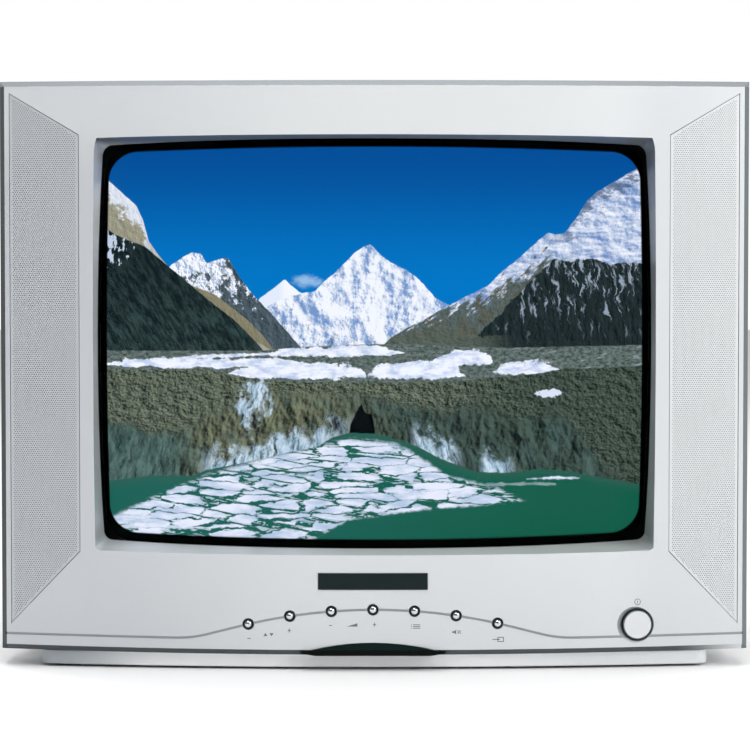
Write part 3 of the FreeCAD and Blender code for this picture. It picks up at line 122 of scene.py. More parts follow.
class Finish:
    """One material. Its place is the point on the surface, in millimetres."""

    def __init__(self, name):
        self.material = bpy.data.materials.new(name)
        self.material.use_nodes = True
        self.tree = self.material.node_tree
        self.tree.nodes.clear()
        place = self.node("TexCoord", output="Object")
        self.place = self.node("VectorMath", {"operation": "SCALE"}, {0: place, "Scale": 1 / MM})
        self.x, self.y, self.z = (
            self.node("SeparateXYZ", inputs={0: self.place}, output=axis) for axis in range(3)
        )

    def node(self, kind, settings=None, inputs=None, output=0):
        """Adds a node: its type, its settings, then the values or links of its sockets."""
        made = self.tree.nodes.new("ShaderNode" + kind)
        for name, value in (settings or {}).items():
            if name == "stops":
                ramp = made.color_ramp.elements
                while len(ramp) < len(value):
                    ramp.new(0.5)
                for stop, (position, colour) in zip(ramp, value):
                    stop.position, stop.color = position, colour
            elif name == "bends":
                curve = made.mapping.curves[0]
                curve.points[0].location, curve.points[1].location = value[0], value[-1]
                for point in value[1:-1]:
                    curve.points.new(*point)
                for point in curve.points:
                    point.handle_type = "VECTOR"
                made.mapping.update()
            else:
                setattr(made, name, value)
        for name, value in (inputs or {}).items():
            if isinstance(value, Socket):
                self.tree.links.new(value.output, made.inputs[name])
            else:
                made.inputs[name].default_value = value
        return Socket(self, made.outputs[output] if made.outputs else None)

    def mix(self, mask, a, b):
        """Colour a where the mask is 0 and b where it is 1."""
        return self.node("Mix", {"data_type": "RGBA"}, {0: mask, 6: a, 7: b}, 2)

    def spot(self, x, y, z=0.0):
        return self.node("CombineXYZ", inputs={0: x, 1: y, 2: z})

    def noise(self, size, stretch=(1, 1, 1), detail=2.0, shift=0.0, place=None, rough=0.5):
        """Cloudy noise, about 0 to 1, with features of that size in millimetres."""
        scale = tuple(s / size for s in stretch)
        spot = self.node("VectorMath", {"operation": "MULTIPLY_ADD"},
                         {0: place or self.place, 1: scale, 2: (shift, shift, shift)})
        inputs = {"Vector": spot, "Scale": 1.0, "Detail": detail, "Roughness": rough}
        return self.node("TexNoise", inputs=inputs)

    def bump(self, height, depth, strength=1.0):
        """Normal of a surface that rises with height, by depth in millimetres."""
        inputs = {"Strength": strength, "Distance": depth * MM, "Height": height}
        return self.node("Bump", inputs=inputs)

    def shade(self, base, roughness=0.5, metallic=0.0, normal=None, **sockets):
        """The Principled shader with these sockets, on the material's output."""
        inputs = {"Base Color": base, "Roughness": roughness, "Metallic": metallic}
        if normal:
            inputs["Normal"] = normal
        for name, value in sockets.items():
            inputs[name.replace("_", " ").title().replace("Ior", "IOR")] = value
        shader = self.node("BsdfPrincipled", inputs=inputs)
        self.node("OutputMaterial", inputs={"Surface": shader})
        return self.material


TABLE_SIZE = 12.0
bpy.ops.mesh.primitive_plane_add(size=TABLE_SIZE)
table = bpy.context.object
table.name = "table"
paper = Finish("white_table")
table.data.materials.append(paper.shade(srgb(247, 247, 247), 0.9, specular_ior_level=0.0))

FRONT_DIM, BACK_BRIGHT = 0.12, 1.0
DIM_TO, BRIGHT_FROM = -0.6, 0.5
scene = bpy.context.scene
scene.view_settings.view_transform = "Standard"
scene.world = bpy.data.worlds.new("room")
scene.world.use_nodes = True
room = scene.world.node_tree
background = room.nodes["Background"]
direction = room.nodes.new("ShaderNodeTexCoord")
along = room.nodes.new("ShaderNodeSeparateXYZ")
brighter = room.nodes.new("ShaderNodeMapRange")
room.links.new(direction.outputs["Generated"], along.inputs[0])
room.links.new(along.outputs["Y"], brighter.inputs["Value"])
for name, value in (("From Min", DIM_TO), ("From Max", BRIGHT_FROM),
                    ("To Min", FRONT_DIM), ("To Max", BACK_BRIGHT)):
    brighter.inputs[name].default_value = value
room.links.new(brighter.outputs[0], background.inputs["Strength"])
background.inputs["Color"].default_value = (1.0, 1.0, 1.0, 1.0)

SET_MIDDLE = Vector((0.0, -0.1, 0.16))


def soft_lamp(name, place, size, power):
    """A square soft box that faces the set. The camera doesn't see it."""
    light = bpy.data.lights.new(name, "AREA")
    light.size, light.energy = size, power
    lamp = bpy.data.objects.new(name, light)
    lamp.location = place
    lamp.rotation_euler = (SET_MIDDLE - Vector(place)).to_track_quat("-Z", "Y").to_euler()
    lamp.visible_camera = False
    scene.collection.objects.link(lamp)


soft_lamp("key_right", (1.78, -1.71, 1.18), 1.2, 28)
soft_lamp("front_top", (-0.12, -0.75, 1.0), 0.6, 5.0)
soft_lamp("top", (0.0, 0.15, 2.0), 1.4, 15)
soft_lamp("rear_left", (-1.6, 1.5, 1.2), 1.2, 12)
soft_lamp("rear_right", (1.8, 1.2, 1.0), 1.2, 7)

CAMERA_PLACE = Vector((0.0003, -1.7845, 0.2249))
CAMERA_TARGET = Vector((0.0003, -0.186, 0.1551))
CAMERA_LENS = 147.6
CLIP_START = 0.05
camera = bpy.data.objects.new("camera", bpy.data.cameras.new("camera"))
camera.location = CAMERA_PLACE
camera.rotation_euler = (CAMERA_TARGET - CAMERA_PLACE).to_track_quat("-Z", "Y").to_euler()
camera.data.lens = CAMERA_LENS
camera.data.clip_start = CLIP_START
scene.collection.objects.link(camera)
scene.camera = camera

# ---- Front frame ------------------------------------------------------------------------
# One large moulding of ABS, sprayed with a pale silver paint that has very fine flake in
# it. Its bevelled rim is greyer, with painted shade, and a painted shadow keeps the lower
# rim dark over the plinth. Painted shade makes the paint grey in the pockets under the
# grilles and round the buttons.
BOW = 20.0
BEVEL = 2.8
BEVEL_DEPTH = BEVEL + 0.4
FOOT_BEVEL = BEVEL + 1.3
OPENING_HALF_W, OPENING_HALF_H = 149.0, 111.5
WALL_START, WALL_END = 104.0, 107.5
OUTER_WALL = 1.5
TOP_FADE, LEFT_FADE, RIGHT_FADE = (250.0, 290.0), (-20.0, -150.0), (120.0, 155.0)
FOOT_FADE = 158.0
POCKET_INNER, POCKET_OUTER = 153.0, 193.0
POCKET_FOOT, POCKET_TOP = 22.0, 303.0
POCKET_FACE, POCKET_FLOOR = 1.0, 9.0
SEAM_FOOT, SEAM_TOP = 16.3, 33.6
SMALL_HOLE, POWER_HOLE = 2.9, 8.75
frame_low, frame_high = (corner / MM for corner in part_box("front_bezel"))
SCREEN_Z = sum(corner.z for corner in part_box("phosphor_screen")) / 2 / MM
FRONT_Y = frame_low.y
HALF_WIDTH = frame_high.x
BOW_RADIUS = (HALF_WIDTH ** 2 + BOW ** 2) / (2 * BOW)


def wear(finish, *nodes):
    """Gives CAD nodes this finish."""
    for node in nodes:
        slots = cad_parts[node].data.materials
        for i in range(len(slots)):
            slots[i] = finish


def front_y(x, depth=0.0):
    """Millimetres: where the bowed front is at x, or a layer that deep under it."""
    return FRONT_Y + BOW_RADIUS - math.sqrt((BOW_RADIUS - depth) ** 2 - x * x)


def reach(a, b):
    """Length of the step that goes a one way and b square to it."""
    return (a ** 2 + b ** 2) ** 0.5


def depth_in(finish):
    """How far a point lies behind the bowed front."""
    return BOW_RADIUS - reach(FRONT_Y + BOW_RADIUS - finish.y, finish.x)


def silver(finish, colour, roughness=0.40, metallic=0.30):
    """Silver paint: slightly uneven in tone, with flake that tilts the surface."""
    drift = finish.noise(70.0, detail=1.0)
    speck = finish.noise(0.45, detail=1.0)
    mottled = finish.mix(0.05 * drift + 0.06 * speck, colour, srgb(120, 124, 128))
    return finish.shade(mottled, roughness + 0.08 * (drift - 0.5), metallic,
                        finish.bump(speck, 0.004, 0.3))


SILVER = srgb(221, 224, 226)
# Painted shade: dark grey round the small buttons' holes, lighter grey in the mains button's ring and on
# its cap's edge.
SHADOW_GREY, RING_SHADE_GREY = srgb(52, 64, 67), srgb(112, 121, 125)
BUTTONS = ("programme_down_button", "programme_up_button", "volume_down_button",
           "volume_up_button", "menu_button", "mute_button", "input_button")


def away_from(finish, node):
    """Distance across the front from the axis of a button."""
    low, high = (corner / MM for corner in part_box(node))
    return reach(finish.x - (low.x + high.x) / 2, finish.z - (low.z + high.z) / 2)


def nearest_button(finish):
    """Distance across the front from the axis of the nearest small button."""
    nearest = away_from(finish, BUTTONS[0])
    for node in BUTTONS[1:]:
        nearest = nearest.under(away_from(finish, node))
    return nearest


paint = Finish("silver_paint")
depth = depth_in(paint)
aside = abs(paint.x)
right = paint.x > 0.0

# The face: painted light makes it palest along the top, and painted shade makes it a
# little darker towards both sides.
top_bar = paint.z.rise(*TOP_FADE)
tone = paint.mix(top_bar * 0.4, SILVER, srgb(234, 236, 237))
tone = paint.mix(paint.x.rise(*LEFT_FADE) * (1.0 - 0.6 * top_bar), tone, srgb(203, 207, 211))
tone = paint.mix(paint.x.rise(*RIGHT_FADE), tone, srgb(215, 218, 220))

# The outer walls, a greyer silver that is darker on top, and the bevel round the face,
# which has painted shade: dark on the left, mid grey on the right and grey along the top,
# with a painted shadow along the lower rim that fades out at the right end.
behind = depth > BEVEL_DEPTH
tone = paint.mix(behind * (aside > HALF_WIDTH - OUTER_WALL), tone, srgb(172, 176, 180))
tone = paint.mix(behind * (paint.z > frame_high.z - OUTER_WALL), tone, srgb(154, 158, 162))
bevelled = depth.within(0.05, BEVEL_DEPTH)
rim_side = (aside > HALF_WIDTH - BEVEL) * bevelled
rim_top = (paint.z > frame_high.z - BEVEL) * bevelled
rim_foot = (paint.z < frame_low.z + FOOT_BEVEL) * bevelled * paint.x.rise(HALF_WIDTH, FOOT_FADE)
tone = paint.mix(rim_side, tone, paint.mix(right, srgb(44, 54, 57), srgb(100, 109, 112)))
tone = paint.mix(rim_top, tone, srgb(128, 134, 138))
tone = paint.mix(0.94 * rim_foot, tone, srgb(26, 38, 40))

# The walls of the opening, with painted light and shade: the left wall grows paler and
# the right wall darker towards the top, the top wall is dark grey, the bottom one silver.
level = paint.z - SCREEN_Z
inside = (aside < OPENING_HALF_W) * (abs(level) < OPENING_HALF_H) * (depth > 0.3)
left_wall = paint.mix(level.rise(-60.0, 60.0), srgb(184, 190, 192), srgb(211, 215, 217))
right_wall = paint.mix(level.rise(-10.0, 40.0), srgb(166, 172, 174), srgb(140, 146, 149))
top_wall = paint.mix(paint.x.rise(-80.0, 80.0), srgb(98, 106, 108), srgb(116, 124, 126))
wall = paint.mix(right, left_wall, right_wall)
wall = paint.mix(level.rise(WALL_START, WALL_END), wall, top_wall)
wall = paint.mix(level.rise(-WALL_START, -WALL_END), wall, SILVER)
tone = paint.mix(inside, tone, wall)

# The pockets, the seam's groove, and the mouths of the button holes, all painted grey as
# the shade that falls in these recesses.
pocket_shade = aside.within(POCKET_INNER, POCKET_OUTER) * depth.within(POCKET_FACE, POCKET_FLOOR)
pocket_shade = pocket_shade * paint.z.within(POCKET_FOOT, POCKET_TOP)
tone = paint.mix(pocket_shade, tone, srgb(88, 92, 95))
seam = (depth > 0.1) * paint.z.within(SEAM_FOOT, SEAM_TOP) * (aside < HALF_WIDTH - BEVEL)
tone = paint.mix(seam, tone, srgb(172, 179, 183))
tone = paint.mix(nearest_button(paint) < SMALL_HOLE, tone, SHADOW_GREY)
tone = paint.mix(away_from(paint, "power_button") < POWER_HOLE, tone, RING_SHADE_GREY)
wear(silver(paint, tone), "front_bezel")

# ---- Speaker grilles --------------------------------------------------------------------
# Thin silver-painted plates pressed into pockets in the frame and punched with fine
# holes, which leave a plain margin. Each follows the frame's bow.
HOLE_PITCH = 1.2
HOLE_RADIUS = 0.32
GRILLE_MARGIN = 1.2
GRILLE_TOP_FALL = 21.7
GRILLE_FOOT_RISE = 38.3
GRILLE_DEPTH, GRILLE_THICK = 0.4, 1.0
EDGE_STEPS = 12
INSIDE_WITH_HOLES, CLOSE = 2, 1e-4


def grille_loops(inner, outer, foot, top):
    """The plate's outline, then its holes: square, set cornerwise, in staggered rows."""
    def span(x):
        """Lowest and highest place of the plate at x."""
        share = (outer - x) / (outer - inner)
        return foot + GRILLE_FOOT_RISE * share, top - GRILLE_TOP_FALL * share

    xs = [inner + (outer - inner) * i / EDGE_STEPS for i in range(EDGE_STEPS + 1)]
    loops = [[(x, span(x)[0]) for x in xs] + [(x, span(x)[1]) for x in reversed(xs)]]
    turns = [math.radians(90 * i) for i in range(4)]
    hole = [(HOLE_RADIUS * math.cos(a), HOLE_RADIUS * math.sin(a)) for a in turns]
    row_rise = HOLE_PITCH * math.sqrt(3) / 2
    for row in range(int((top - foot) / row_rise)):
        z = foot + row * row_rise
        for column in range(int((outer - inner) / HOLE_PITCH) + 1):
            x = inner + (column + 0.5 * (row % 2)) * HOLE_PITCH
            lowest, highest = span(x)
            beside = inner + GRILLE_MARGIN < x < outer - GRILLE_MARGIN
            if beside and lowest + 1.5 * GRILLE_MARGIN < z < highest - 1.2 * GRILLE_MARGIN:
                loops.append([(x + dx, z + dz) for dx, dz in hole])
    return loops


def add_piece(name, shape, finish):
    """Makes a piece that rides on the cabinet from a mesh in the making."""
    bmesh.ops.recalc_face_normals(shape, faces=shape.faces)
    mesh = bpy.data.meshes.new(name)
    shape.to_mesh(mesh)
    shape.free()
    mesh.materials.append(finish)
    piece = bpy.data.objects.new(name, mesh)
    scene.collection.objects.link(piece)
    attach(piece, "cabinet")
    return piece


def punched_plate(name, node, finish):
    """Plate bent to the frame's bow, with its holes cut through."""
    low, high = (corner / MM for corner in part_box(node))
    side = 1 if low.x > 0 else -1
    inner, outer = sorted((abs(low.x), abs(high.x)))
    points = []
    loops = []
    for loop in grille_loops(inner, outer, low.z, high.z):
        loops.append(list(range(len(points), len(points) + len(loop))))
        points.extend(Vector(corner) for corner in loop)
    flat, _, faces, _, _, _ = delaunay_2d_cdt(points, [], loops, INSIDE_WITH_HOLES, CLOSE)
    plate = bmesh.new()
    near, far = (
        [plate.verts.new((side * p.x * MM, front_y(p.x, deep) * MM, p.y * MM)) for p in flat]
        for deep in (GRILLE_DEPTH, GRILLE_DEPTH + GRILLE_THICK)
    )
    sides = {(a, b) for face in faces for a, b in zip(face, face[1:] + face[:1])}
    for face in faces:
        plate.faces.new([near[i] for i in face])
        plate.faces.new([far[i] for i in reversed(face)])
    for a, b in sorted(sides):
        if (b, a) not in sides:
            plate.faces.new([near[b], near[a], far[a], far[b]])
    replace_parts(add_piece(name, plate, finish), node)


grille = Finish("grille_paint")
# The right grille is painted paler and the left one darker: painted light and shade.
grille_tone = grille.mix(grille.x > 0.0, srgb(194, 198, 202), srgb(218, 221, 223))
grille_paint = silver(grille, grille_tone, 0.45)
punched_plate("grille_left", "speaker_grille_left", grille_paint)
punched_plate("grille_right", "speaker_grille_right", grille_paint)

# ---- Badge and remote-control window ----------------------------------------------------
# The badge is a bare plate of dark satin plastic glued in a shallow recess. The window is
# a polished lens of smoked acrylic that lets only infrared light through.
badge = Finish("badge_satin")
badge_wave = badge.noise(9.0, detail=1.0)
badge_tone = badge.mix(badge_wave, srgb(8, 24, 26), srgb(14, 32, 34))
wear(badge.shade(badge_tone, 0.34 + 0.06 * badge_wave, specular_ior_level=0.2), "badge_plate")

smoked = Finish("smoked_acrylic")
FACET_FOOT, FACET_TOP = 11.0, 11.4
# The top facet is painted lighter than the black face below it: a painted reflection.
facet = smoked.z.rise(FACET_FOOT, FACET_TOP)
lens_tone = smoked.mix(facet, srgb(1, 2, 3), srgb(16, 32, 32))
wear(smoked.shade(lens_tone, 0.26 + 0.04 * smoked.noise(5.0), specular_ior_level=0.1),
     "remote_window")

# ---- Control signs ----------------------------------------------------------------------
# Small grey signs pad-printed on the paint under the buttons and over the mains switch.
# They say what each button does without words.
ink = Finish("sign_ink")
INK_DEPTH = 0.02
INK_RISE = 0.03
signs = bmesh.new()


def bar(x, z, wide, high, turn=0.0):
    """Corners of a bar centred on x, z."""
    corners = [(a * wide / 2, b * high / 2) for a, b in ((-1, -1), (1, -1), (1, 1), (-1, 1))]
    c, s = math.cos(math.radians(turn)), math.sin(math.radians(turn))
    return [(x + c * a - s * b, z + s * a + c * b) for a, b in corners]


def print_sign(x, z, shapes):
    """Adds convex shapes to the print, drawn round x, z on the bowed front."""
    for shape in shapes:
        rings = []
        for lift in (INK_RISE, -INK_DEPTH):
            rings.append([
                signs.verts.new(((x + a) * MM, (front_y(x + a) - lift) * MM, (z + b) * MM))
                for a, b in shape
            ])
        over, under = rings
        signs.faces.new(over)
        signs.faces.new(under[::-1])
        for i in range(len(over)):
            j = (i + 1) % len(over)
            signs.faces.new([over[j], over[i], under[i], under[j]])


LINE = 0.42
minus = [bar(0, 0, 1.7, LINE)]
plus = [bar(0, 0, 1.7, LINE), bar(0, 0.64, LINE, 0.85), bar(0, -0.64, LINE, 0.85)]
up_down = [[(-2.7, -0.8), (-0.5, -0.8), (-1.6, 0.9)], [(0.5, 0.8), (1.6, -0.9), (2.7, 0.8)]]
wedge = [[(-2.9, -0.8), (2.7, -0.8), (2.7, 0.9)]]
ROWS = (-0.9, 0, 0.9)
lines = [bar(0.5, z, 3.8, LINE) for z in ROWS] + [bar(-2.2, z, LINE, LINE) for z in ROWS]
crossed_horn = [
    bar(-2.0, 0, 0.9, 0.9), [(-1.5, -0.45), (-0.4, -1.2), (-0.4, 1.2), (-1.5, 0.45)],
    bar(1.2, 0, 2.4, LINE, 45), bar(0.6, 0.6, 0.85, LINE, -45), bar(1.8, -0.6, 0.85, LINE, -45),
]
into_box = [
    bar(1.2, 1.1, 3.0, LINE), bar(1.2, -1.1, 3.0, LINE), bar(2.9, 0, LINE, 2.6),
    bar(-1.6, 0, 2.6, LINE), [(-0.3, -0.8), (1.1, 0), (-0.3, 0.8)],
]
for place_x, place_z, shapes in (
    (-65.6, 17.1, minus), (-55.4, 19.2, up_down), (-44.5, 21.4, plus), (-22.9, 24.2, minus),
    (-11.6, 24.4, wedge), (0.0, 24.6, plus), (21.5, 23.6, lines), (43.1, 20.6, crossed_horn),
    (64.6, 16.6, into_box),
):
    print_sign(place_x, place_z, shapes)
RING_INNER, RING_OUTER, RING_STEPS = 1.35, 1.7, 24
ring_shapes = []
for i in range(RING_STEPS):
    a, b = (math.tau * (i + k) / RING_STEPS for k in (0, 1))
    ring_shapes.append([(r * math.sin(t), r * math.cos(t)) for r, t in
                        ((RING_INNER, a), (RING_OUTER, a), (RING_OUTER, b), (RING_INNER, b))])
MAINS_SIGN_X, MAINS_SIGN_Z = 138.2, 35.4
print_sign(MAINS_SIGN_X, MAINS_SIGN_Z, ring_shapes + [bar(0, 0, 0.4, 1.3)])
SAME_PLACE = 0.001 * MM
bmesh.ops.remove_doubles(signs, verts=signs.verts, dist=SAME_PLACE)
ink_tone = ink.mix(ink.noise(2.0), srgb(98, 103, 108), srgb(112, 117, 121))
add_piece("control_signs", signs, ink.shade(ink_tone, 0.5 + 0.1 * ink.noise(1.0)))

# ---- Buttons ----------------------------------------------------------------------------
# Seven small domed caps of chromed plastic that stand on the seam, and the mains button, a
# cap sprayed like the frame. Each slides in a hole with a bevelled mouth. The small domes
# have a painted dark reflection round their edges, and the mains cap a grey edge of
# painted shade.
chrome = Finish("button_chrome")
DOME_EDGE, DARK_RIM_EDGE = 1.45, 1.75
CAP_FACE, CAP_EDGE = 6.95, 7.15
# Painted reflection: each dome's edge is dark and dull, for the dark hole it would mirror.
dark_rim_reflection = nearest_button(chrome).rise(DOME_EDGE, DARK_RIM_EDGE)
haze = chrome.noise(1.5, detail=3.0)
chrome_tone = chrome.mix(haze, srgb(200, 203, 206), srgb(232, 234, 236))
chrome_tone = chrome.mix(dark_rim_reflection, chrome_tone, srgb(20, 30, 34))
wear(chrome.shade(chrome_tone, 0.10 + 0.10 * haze + 0.3 * dark_rim_reflection, 1.0 - dark_rim_reflection), *BUTTONS)
cap = Finish("power_cap_paint")
# Painted shade: the cap's edge is the same grey as the ring round its hole.
cap_rim = away_from(cap, "power_button").rise(CAP_FACE, CAP_EDGE)
wear(silver(cap, cap.mix(cap_rim, srgb(226, 228, 230), RING_SHADE_GREY), 0.34, 0.35), "power_button")

# ---- Picture tube: face and picture -------------------------------------------------------
# The face is a thick slab of tinted glass. On its inner side the phosphor is laid in fine
# stripes inside a black border, and glows with a daylight view of a snowy valley: a lake
# with floating ice, the broken end of a glacier, and peaks under a deep blue sky.
panel = Finish("panel_glass")
panel_tone = panel.mix(panel.noise(90.0), srgb(245, 247, 247), srgb(249, 250, 250))
wear(panel.shade(panel_tone, 0.0, transmission_weight=1.0, ior=1.5,
                 specular_tint=srgb(50, 52, 54)), "crt_faceplate")

view = Finish("phosphor_view")
across, up = view.x, view.z - SCREEN_Z
flat_place = view.spot(across, up)
SPAN = 290.0


def ridge(*points):
    """Height of a line across the picture at this place, from points along it."""
    bends = [(x / SPAN + 0.5, z / SPAN + 0.5) for x, z in points]
    return view.node("FloatCurve", {"bends": bends}, {"Value": across / SPAN + 0.5}) * SPAN - SPAN / 2


def grain(size, wide=1.0, high=1.0, detail=6.0, shift=0.0, rough=0.6):
    """Noise whose features are wide or high times its size."""
    return view.noise(size, (1 / wide, 1 / high, 1), detail, shift, flat_place, rough)


def relief(size, wide=1.0, high=1.0, shift=0.0, gain=2.2, rough=0.62):
    """Light and shade on rough ground that is lit from the right, about 0 to 1."""
    here = grain(size, wide, high, 7.0, shift, rough)
    step = size * 0.11
    lit_side = view.node("VectorMath", {"operation": "ADD"}, {0: flat_place, 1: (step, step * 0.6, 0)})
    there = view.noise(size, (1 / wide, 1 / high, 1), 7.0, shift, lit_side, rough)
    return (0.5 + (here - there) * gain * 2).over(0.0).under(1.0)


def below(line, soft=0.35):
    """1 under a line of the picture and 0 over it."""
    return (line - up).rise(-soft, soft)


def lay(under, mask, dark, light, amount):
    """Ground whose colour runs from dark to light by the amount, laid where the mask is 1."""
    return view.mix(mask, under, view.mix(amount, dark, light))


def blot(x, z, wide, high, ragged, soft):
    """Mask of a round patch with a ragged edge."""
    return (1.0 - reach((across - x) / wide, (up - z) / high) + ragged).rise(*soft)


crag = grain(9.0, detail=8.0, shift=3.0, rough=0.65) - 0.5
fine_crag = grain(3.0, detail=5.0, shift=8.0) - 0.5

# Sky, with one small cloud beside the middle peak.
sky = view.mix(up.rise(104.0, 28.0), srgb(4, 76, 150), srgb(2, 116, 194))
cloud = blot(-36.0, 33.0, 11.0, 5.0, 1.4 * (grain(5.0, 1.8, shift=2.0) - 0.5), (0.15, 0.75))
picture = view.mix(cloud * 0.8, sky, srgb(160, 198, 232))

# Middle peak and the white cone to its left.
snow_light, snow_shade = srgb(240, 243, 252), srgb(112, 148, 200)
peak_shape = relief(22.0, 0.8, 1.1, 1.0, 1.5)
peak_fine = relief(6.0, 0.9, 1.1, 4.0, 1.2)
cone = ridge((-145, -20), (-63, 20), (-60, 24), (-53, 29), (-47, 34), (-44, 31), (-39, 27),
             (-30, 22), (0, -30), (145, -40))
cone_light = across.rise(-51.0, -46.0) * 0.3 + 0.7
picture = lay(picture, below(cone + fine_crag * 1.2), srgb(176, 200, 234), snow_light, cone_light)
middle = ridge((-145, -30), (-62, 16), (-52, 22), (-45, 25), (-36, 27), (-31, 27.5), (-26, 33),
               (-20, 38), (-15, 43), (-10, 48), (-6, 51), (-2, 52), (3, 47), (8, 43), (16, 39),
               (21, 36), (25, 32), (32, 24), (39, 20), (60, -10), (145, -30))
mask = below(middle + crag * 2.6 + fine_crag)
snow = view.mix((peak_shape * 0.62 + peak_fine * 0.38).rise(0.30, 0.60), snow_shade, snow_light)
picture = view.mix(mask, picture, snow)
rock = (grain(5.0, 0.8, 1.5, 8.0, 12.0, 0.75) - (up + 20.0) * 0.0030).rise(0.47, 0.54)
rock = rock * across.rise(10.0, -30.0).over(up.rise(14.0, -4.0) * 0.5)
picture = view.mix(mask * rock * 0.85, picture, view.mix(peak_fine, srgb(52, 70, 96), srgb(108, 128, 156)))

# Snowy peaks on the middle left, and the tan strip of scree below them.
shoulder = ridge((-145, 0), (-115, 34), (-107, 41), (-101, 45), (-96, 48), (-91, 47), (-88, 42),
                 (-84, 44), (-77, 45), (-72, 37), (-64, 26), (-54, 16), (-47, 8), (-40, 0),
                 (-34, -8), (0, -30), (145, -40))
mask = below(shoulder + crag * 2.4 + fine_crag * 0.8)
patch = grain(6.0, 0.9, 1.3, 7.0, 20.0, 0.7)
patch = (patch + (up - 28.0) * 0.004 + (-82.0 - across) * 0.003).rise(0.47, 0.53)
rough_ground = relief(5.0, 0.9, 1.2, 6.0, 1.6)
picture = lay(picture, mask, srgb(22, 36, 46), srgb(96, 112, 122), rough_ground)
picture = lay(picture, mask * patch, srgb(150, 172, 208), srgb(244, 246, 252), rough_ground.rise(0.3, 0.6))
scree = ridge((-145, 40), (-112, 36), (-97, 31), (-84, 26), (-76, 20), (-66, 12), (-59, 5),
              (-52, -4), (0, -30), (145, -40))
mask = below(scree + fine_crag * 1.4)
picture = lay(picture, mask, srgb(104, 102, 84), srgb(150, 144, 120), rough_ground)

# Sunlit spur at the far left, and the dark slope in front of it.
spur = ridge((-145, 90), (-140, 85), (-133, 79), (-126, 73), (-122, 65), (-119, 54), (-115, 48),
             (-109, 41), (-100, 20), (0, -30), (145, -40))
mask = below(spur + crag * 1.5 + fine_crag * 0.8)
spur_snow = (up - spur + 9.0) * 0.05 + (grain(7.0, shift=30.0, rough=0.7) - 0.5) * 2.2 + 0.08
spur_snow = spur_snow.rise(0.0, 0.22) * (up.rise(40.0, 62.0) * 0.85 + 0.15)
picture = lay(picture, mask, srgb(112, 112, 98), srgb(178, 174, 152), rough_ground)
picture = lay(picture, mask * spur_snow, srgb(178, 192, 214), srgb(246, 246, 250), rough_ground)
slope = ridge((-145, 61), (-141, 60), (-136, 57), (-129, 54), (-121, 51), (-115, 46), (-109, 41),
              (-98, 32), (-86, 22), (-74, 13), (-67, 6), (-62, 1), (-57, -5), (0, -40), (145, -60))
mask = below(slope + crag * 1.2 + fine_crag)
slide = view.spot(across + up * 0.55, up * 0.35)
slope_streak = view.noise(3.2, (1, 1, 1), 8.0, 5.0, slide, 0.72)
slope_tone = slope_streak.rise(0.42, 0.62) * 0.65 + relief(5.0, shift=9.0, gain=1.6) * 0.35
slope_tone = slope_tone * (0.5 + 0.5 * up.rise(52.0, 0.0))
picture = lay(picture, mask, srgb(4, 16, 22), srgb(58, 78, 78), slope_tone)
slope_snow = grain(4.0, 0.8, 1.6, 4.0, 41.0) - up.rise(48.0, 30.0) * 0.2 - (across + 125.0) * 0.008
slope_snow = slope_snow.rise(0.60, 0.63) * up.rise(20.0, 40.0)
picture = view.mix(mask * slope_snow, picture, srgb(190, 204, 224))

# Great mountain on the right: snow above, a dark face with runs of snow, green foothills.
right_ridge = ridge((-145, -60), (0, -6), (9, 4), (18, 9), (25, 12), (33, 17), (39, 20), (50, 26),
                    (59, 30), (66, 37), (76, 45), (86, 54), (91, 58), (95, 57), (100, 58), (107, 67),
                    (112, 75), (118, 80), (125, 84), (137, 91), (145, 96))
mask = below(right_ridge + crag * 2.2 + fine_crag * 1.2)
drift_shade = (relief(16.0, 1.7, 0.8, 15.0, 1.3) * 0.7 + peak_fine * 0.3).rise(0.28, 0.72)
picture = lay(picture, mask, srgb(104, 138, 190), srgb(236, 240, 252), drift_shade)
high_rock = (grain(6.0, 1.6, 0.8, 7.0, 50.0, 0.7) - (right_ridge - up) * 0.012).rise(0.42, 0.50)
high_rock = high_rock * across.rise(84.0, 112.0)
picture = view.mix(mask * high_rock * 0.8, picture, srgb(70, 92, 124))
diagonal = view.noise(3.6, (1, 1, 1), 8.0, 60.0, view.spot(across * 0.9 - up, (across + up) * 0.3), 0.72)
flank = (diagonal - 0.5) * 2.6 + (up - right_ridge + 9.0) * 0.045 + (across - 72.0) * 0.012
flank_rock = (0.0 - flank).rise(-0.12, 0.16) * across.rise(108.0, 92.0)
flank_tone = relief(4.0, shift=62.0, gain=1.8) * 0.7 + diagonal * 0.3
flank_light = view.mix(grain(12.0, shift=64.0).rise(0.42, 0.58), srgb(110, 126, 124), srgb(114, 116, 102))
picture = lay(picture, mask * flank_rock, srgb(34, 46, 48), flank_light, flank_tone)
dark_face = ridge((-145, -60), (40, -8), (48, -1), (56, 6), (63, 13), (70, 20), (76, 27), (82, 33),
                  (88, 39), (95, 45), (101, 43), (109, 44), (116, 44), (125, 41), (132, 43), (145, 41))
mask = below(dark_face + fine_crag * 5.0 + crag * 7.0)
face_tone = relief(6.0, 0.7, 1.6, 25.0, 1.5)
picture = lay(picture, mask, srgb(3, 12, 18), srgb(48, 62, 64), face_tone * 0.9)
runs = view.noise(2.1, (1, 0.16, 1), 7.0, 70.0, view.spot(across + up * 0.12 + crag * 10.0, up), 0.66)
runs = (runs + up.rise(-8.0, 40.0) * 0.08).rise(0.60, 0.67) * up.rise(-6.0, 20.0)
picture = view.mix(mask * runs * 0.66, picture, srgb(176, 192, 212))
hills = ridge((-145, -60), (0, -6), (9, 3), (20, 7), (34, 9), (46, 5), (60, 4), (78, 5), (96, 12),
              (116, 17), (130, 25), (145, 30))
mask = below(hills + crag * 8.0) * across.rise(-2.0, 8.0) * across.rise(76.0, 50.0) * 0.9
hill_tone = relief(6.0, 1.3, 0.9, 35.0, 1.4)
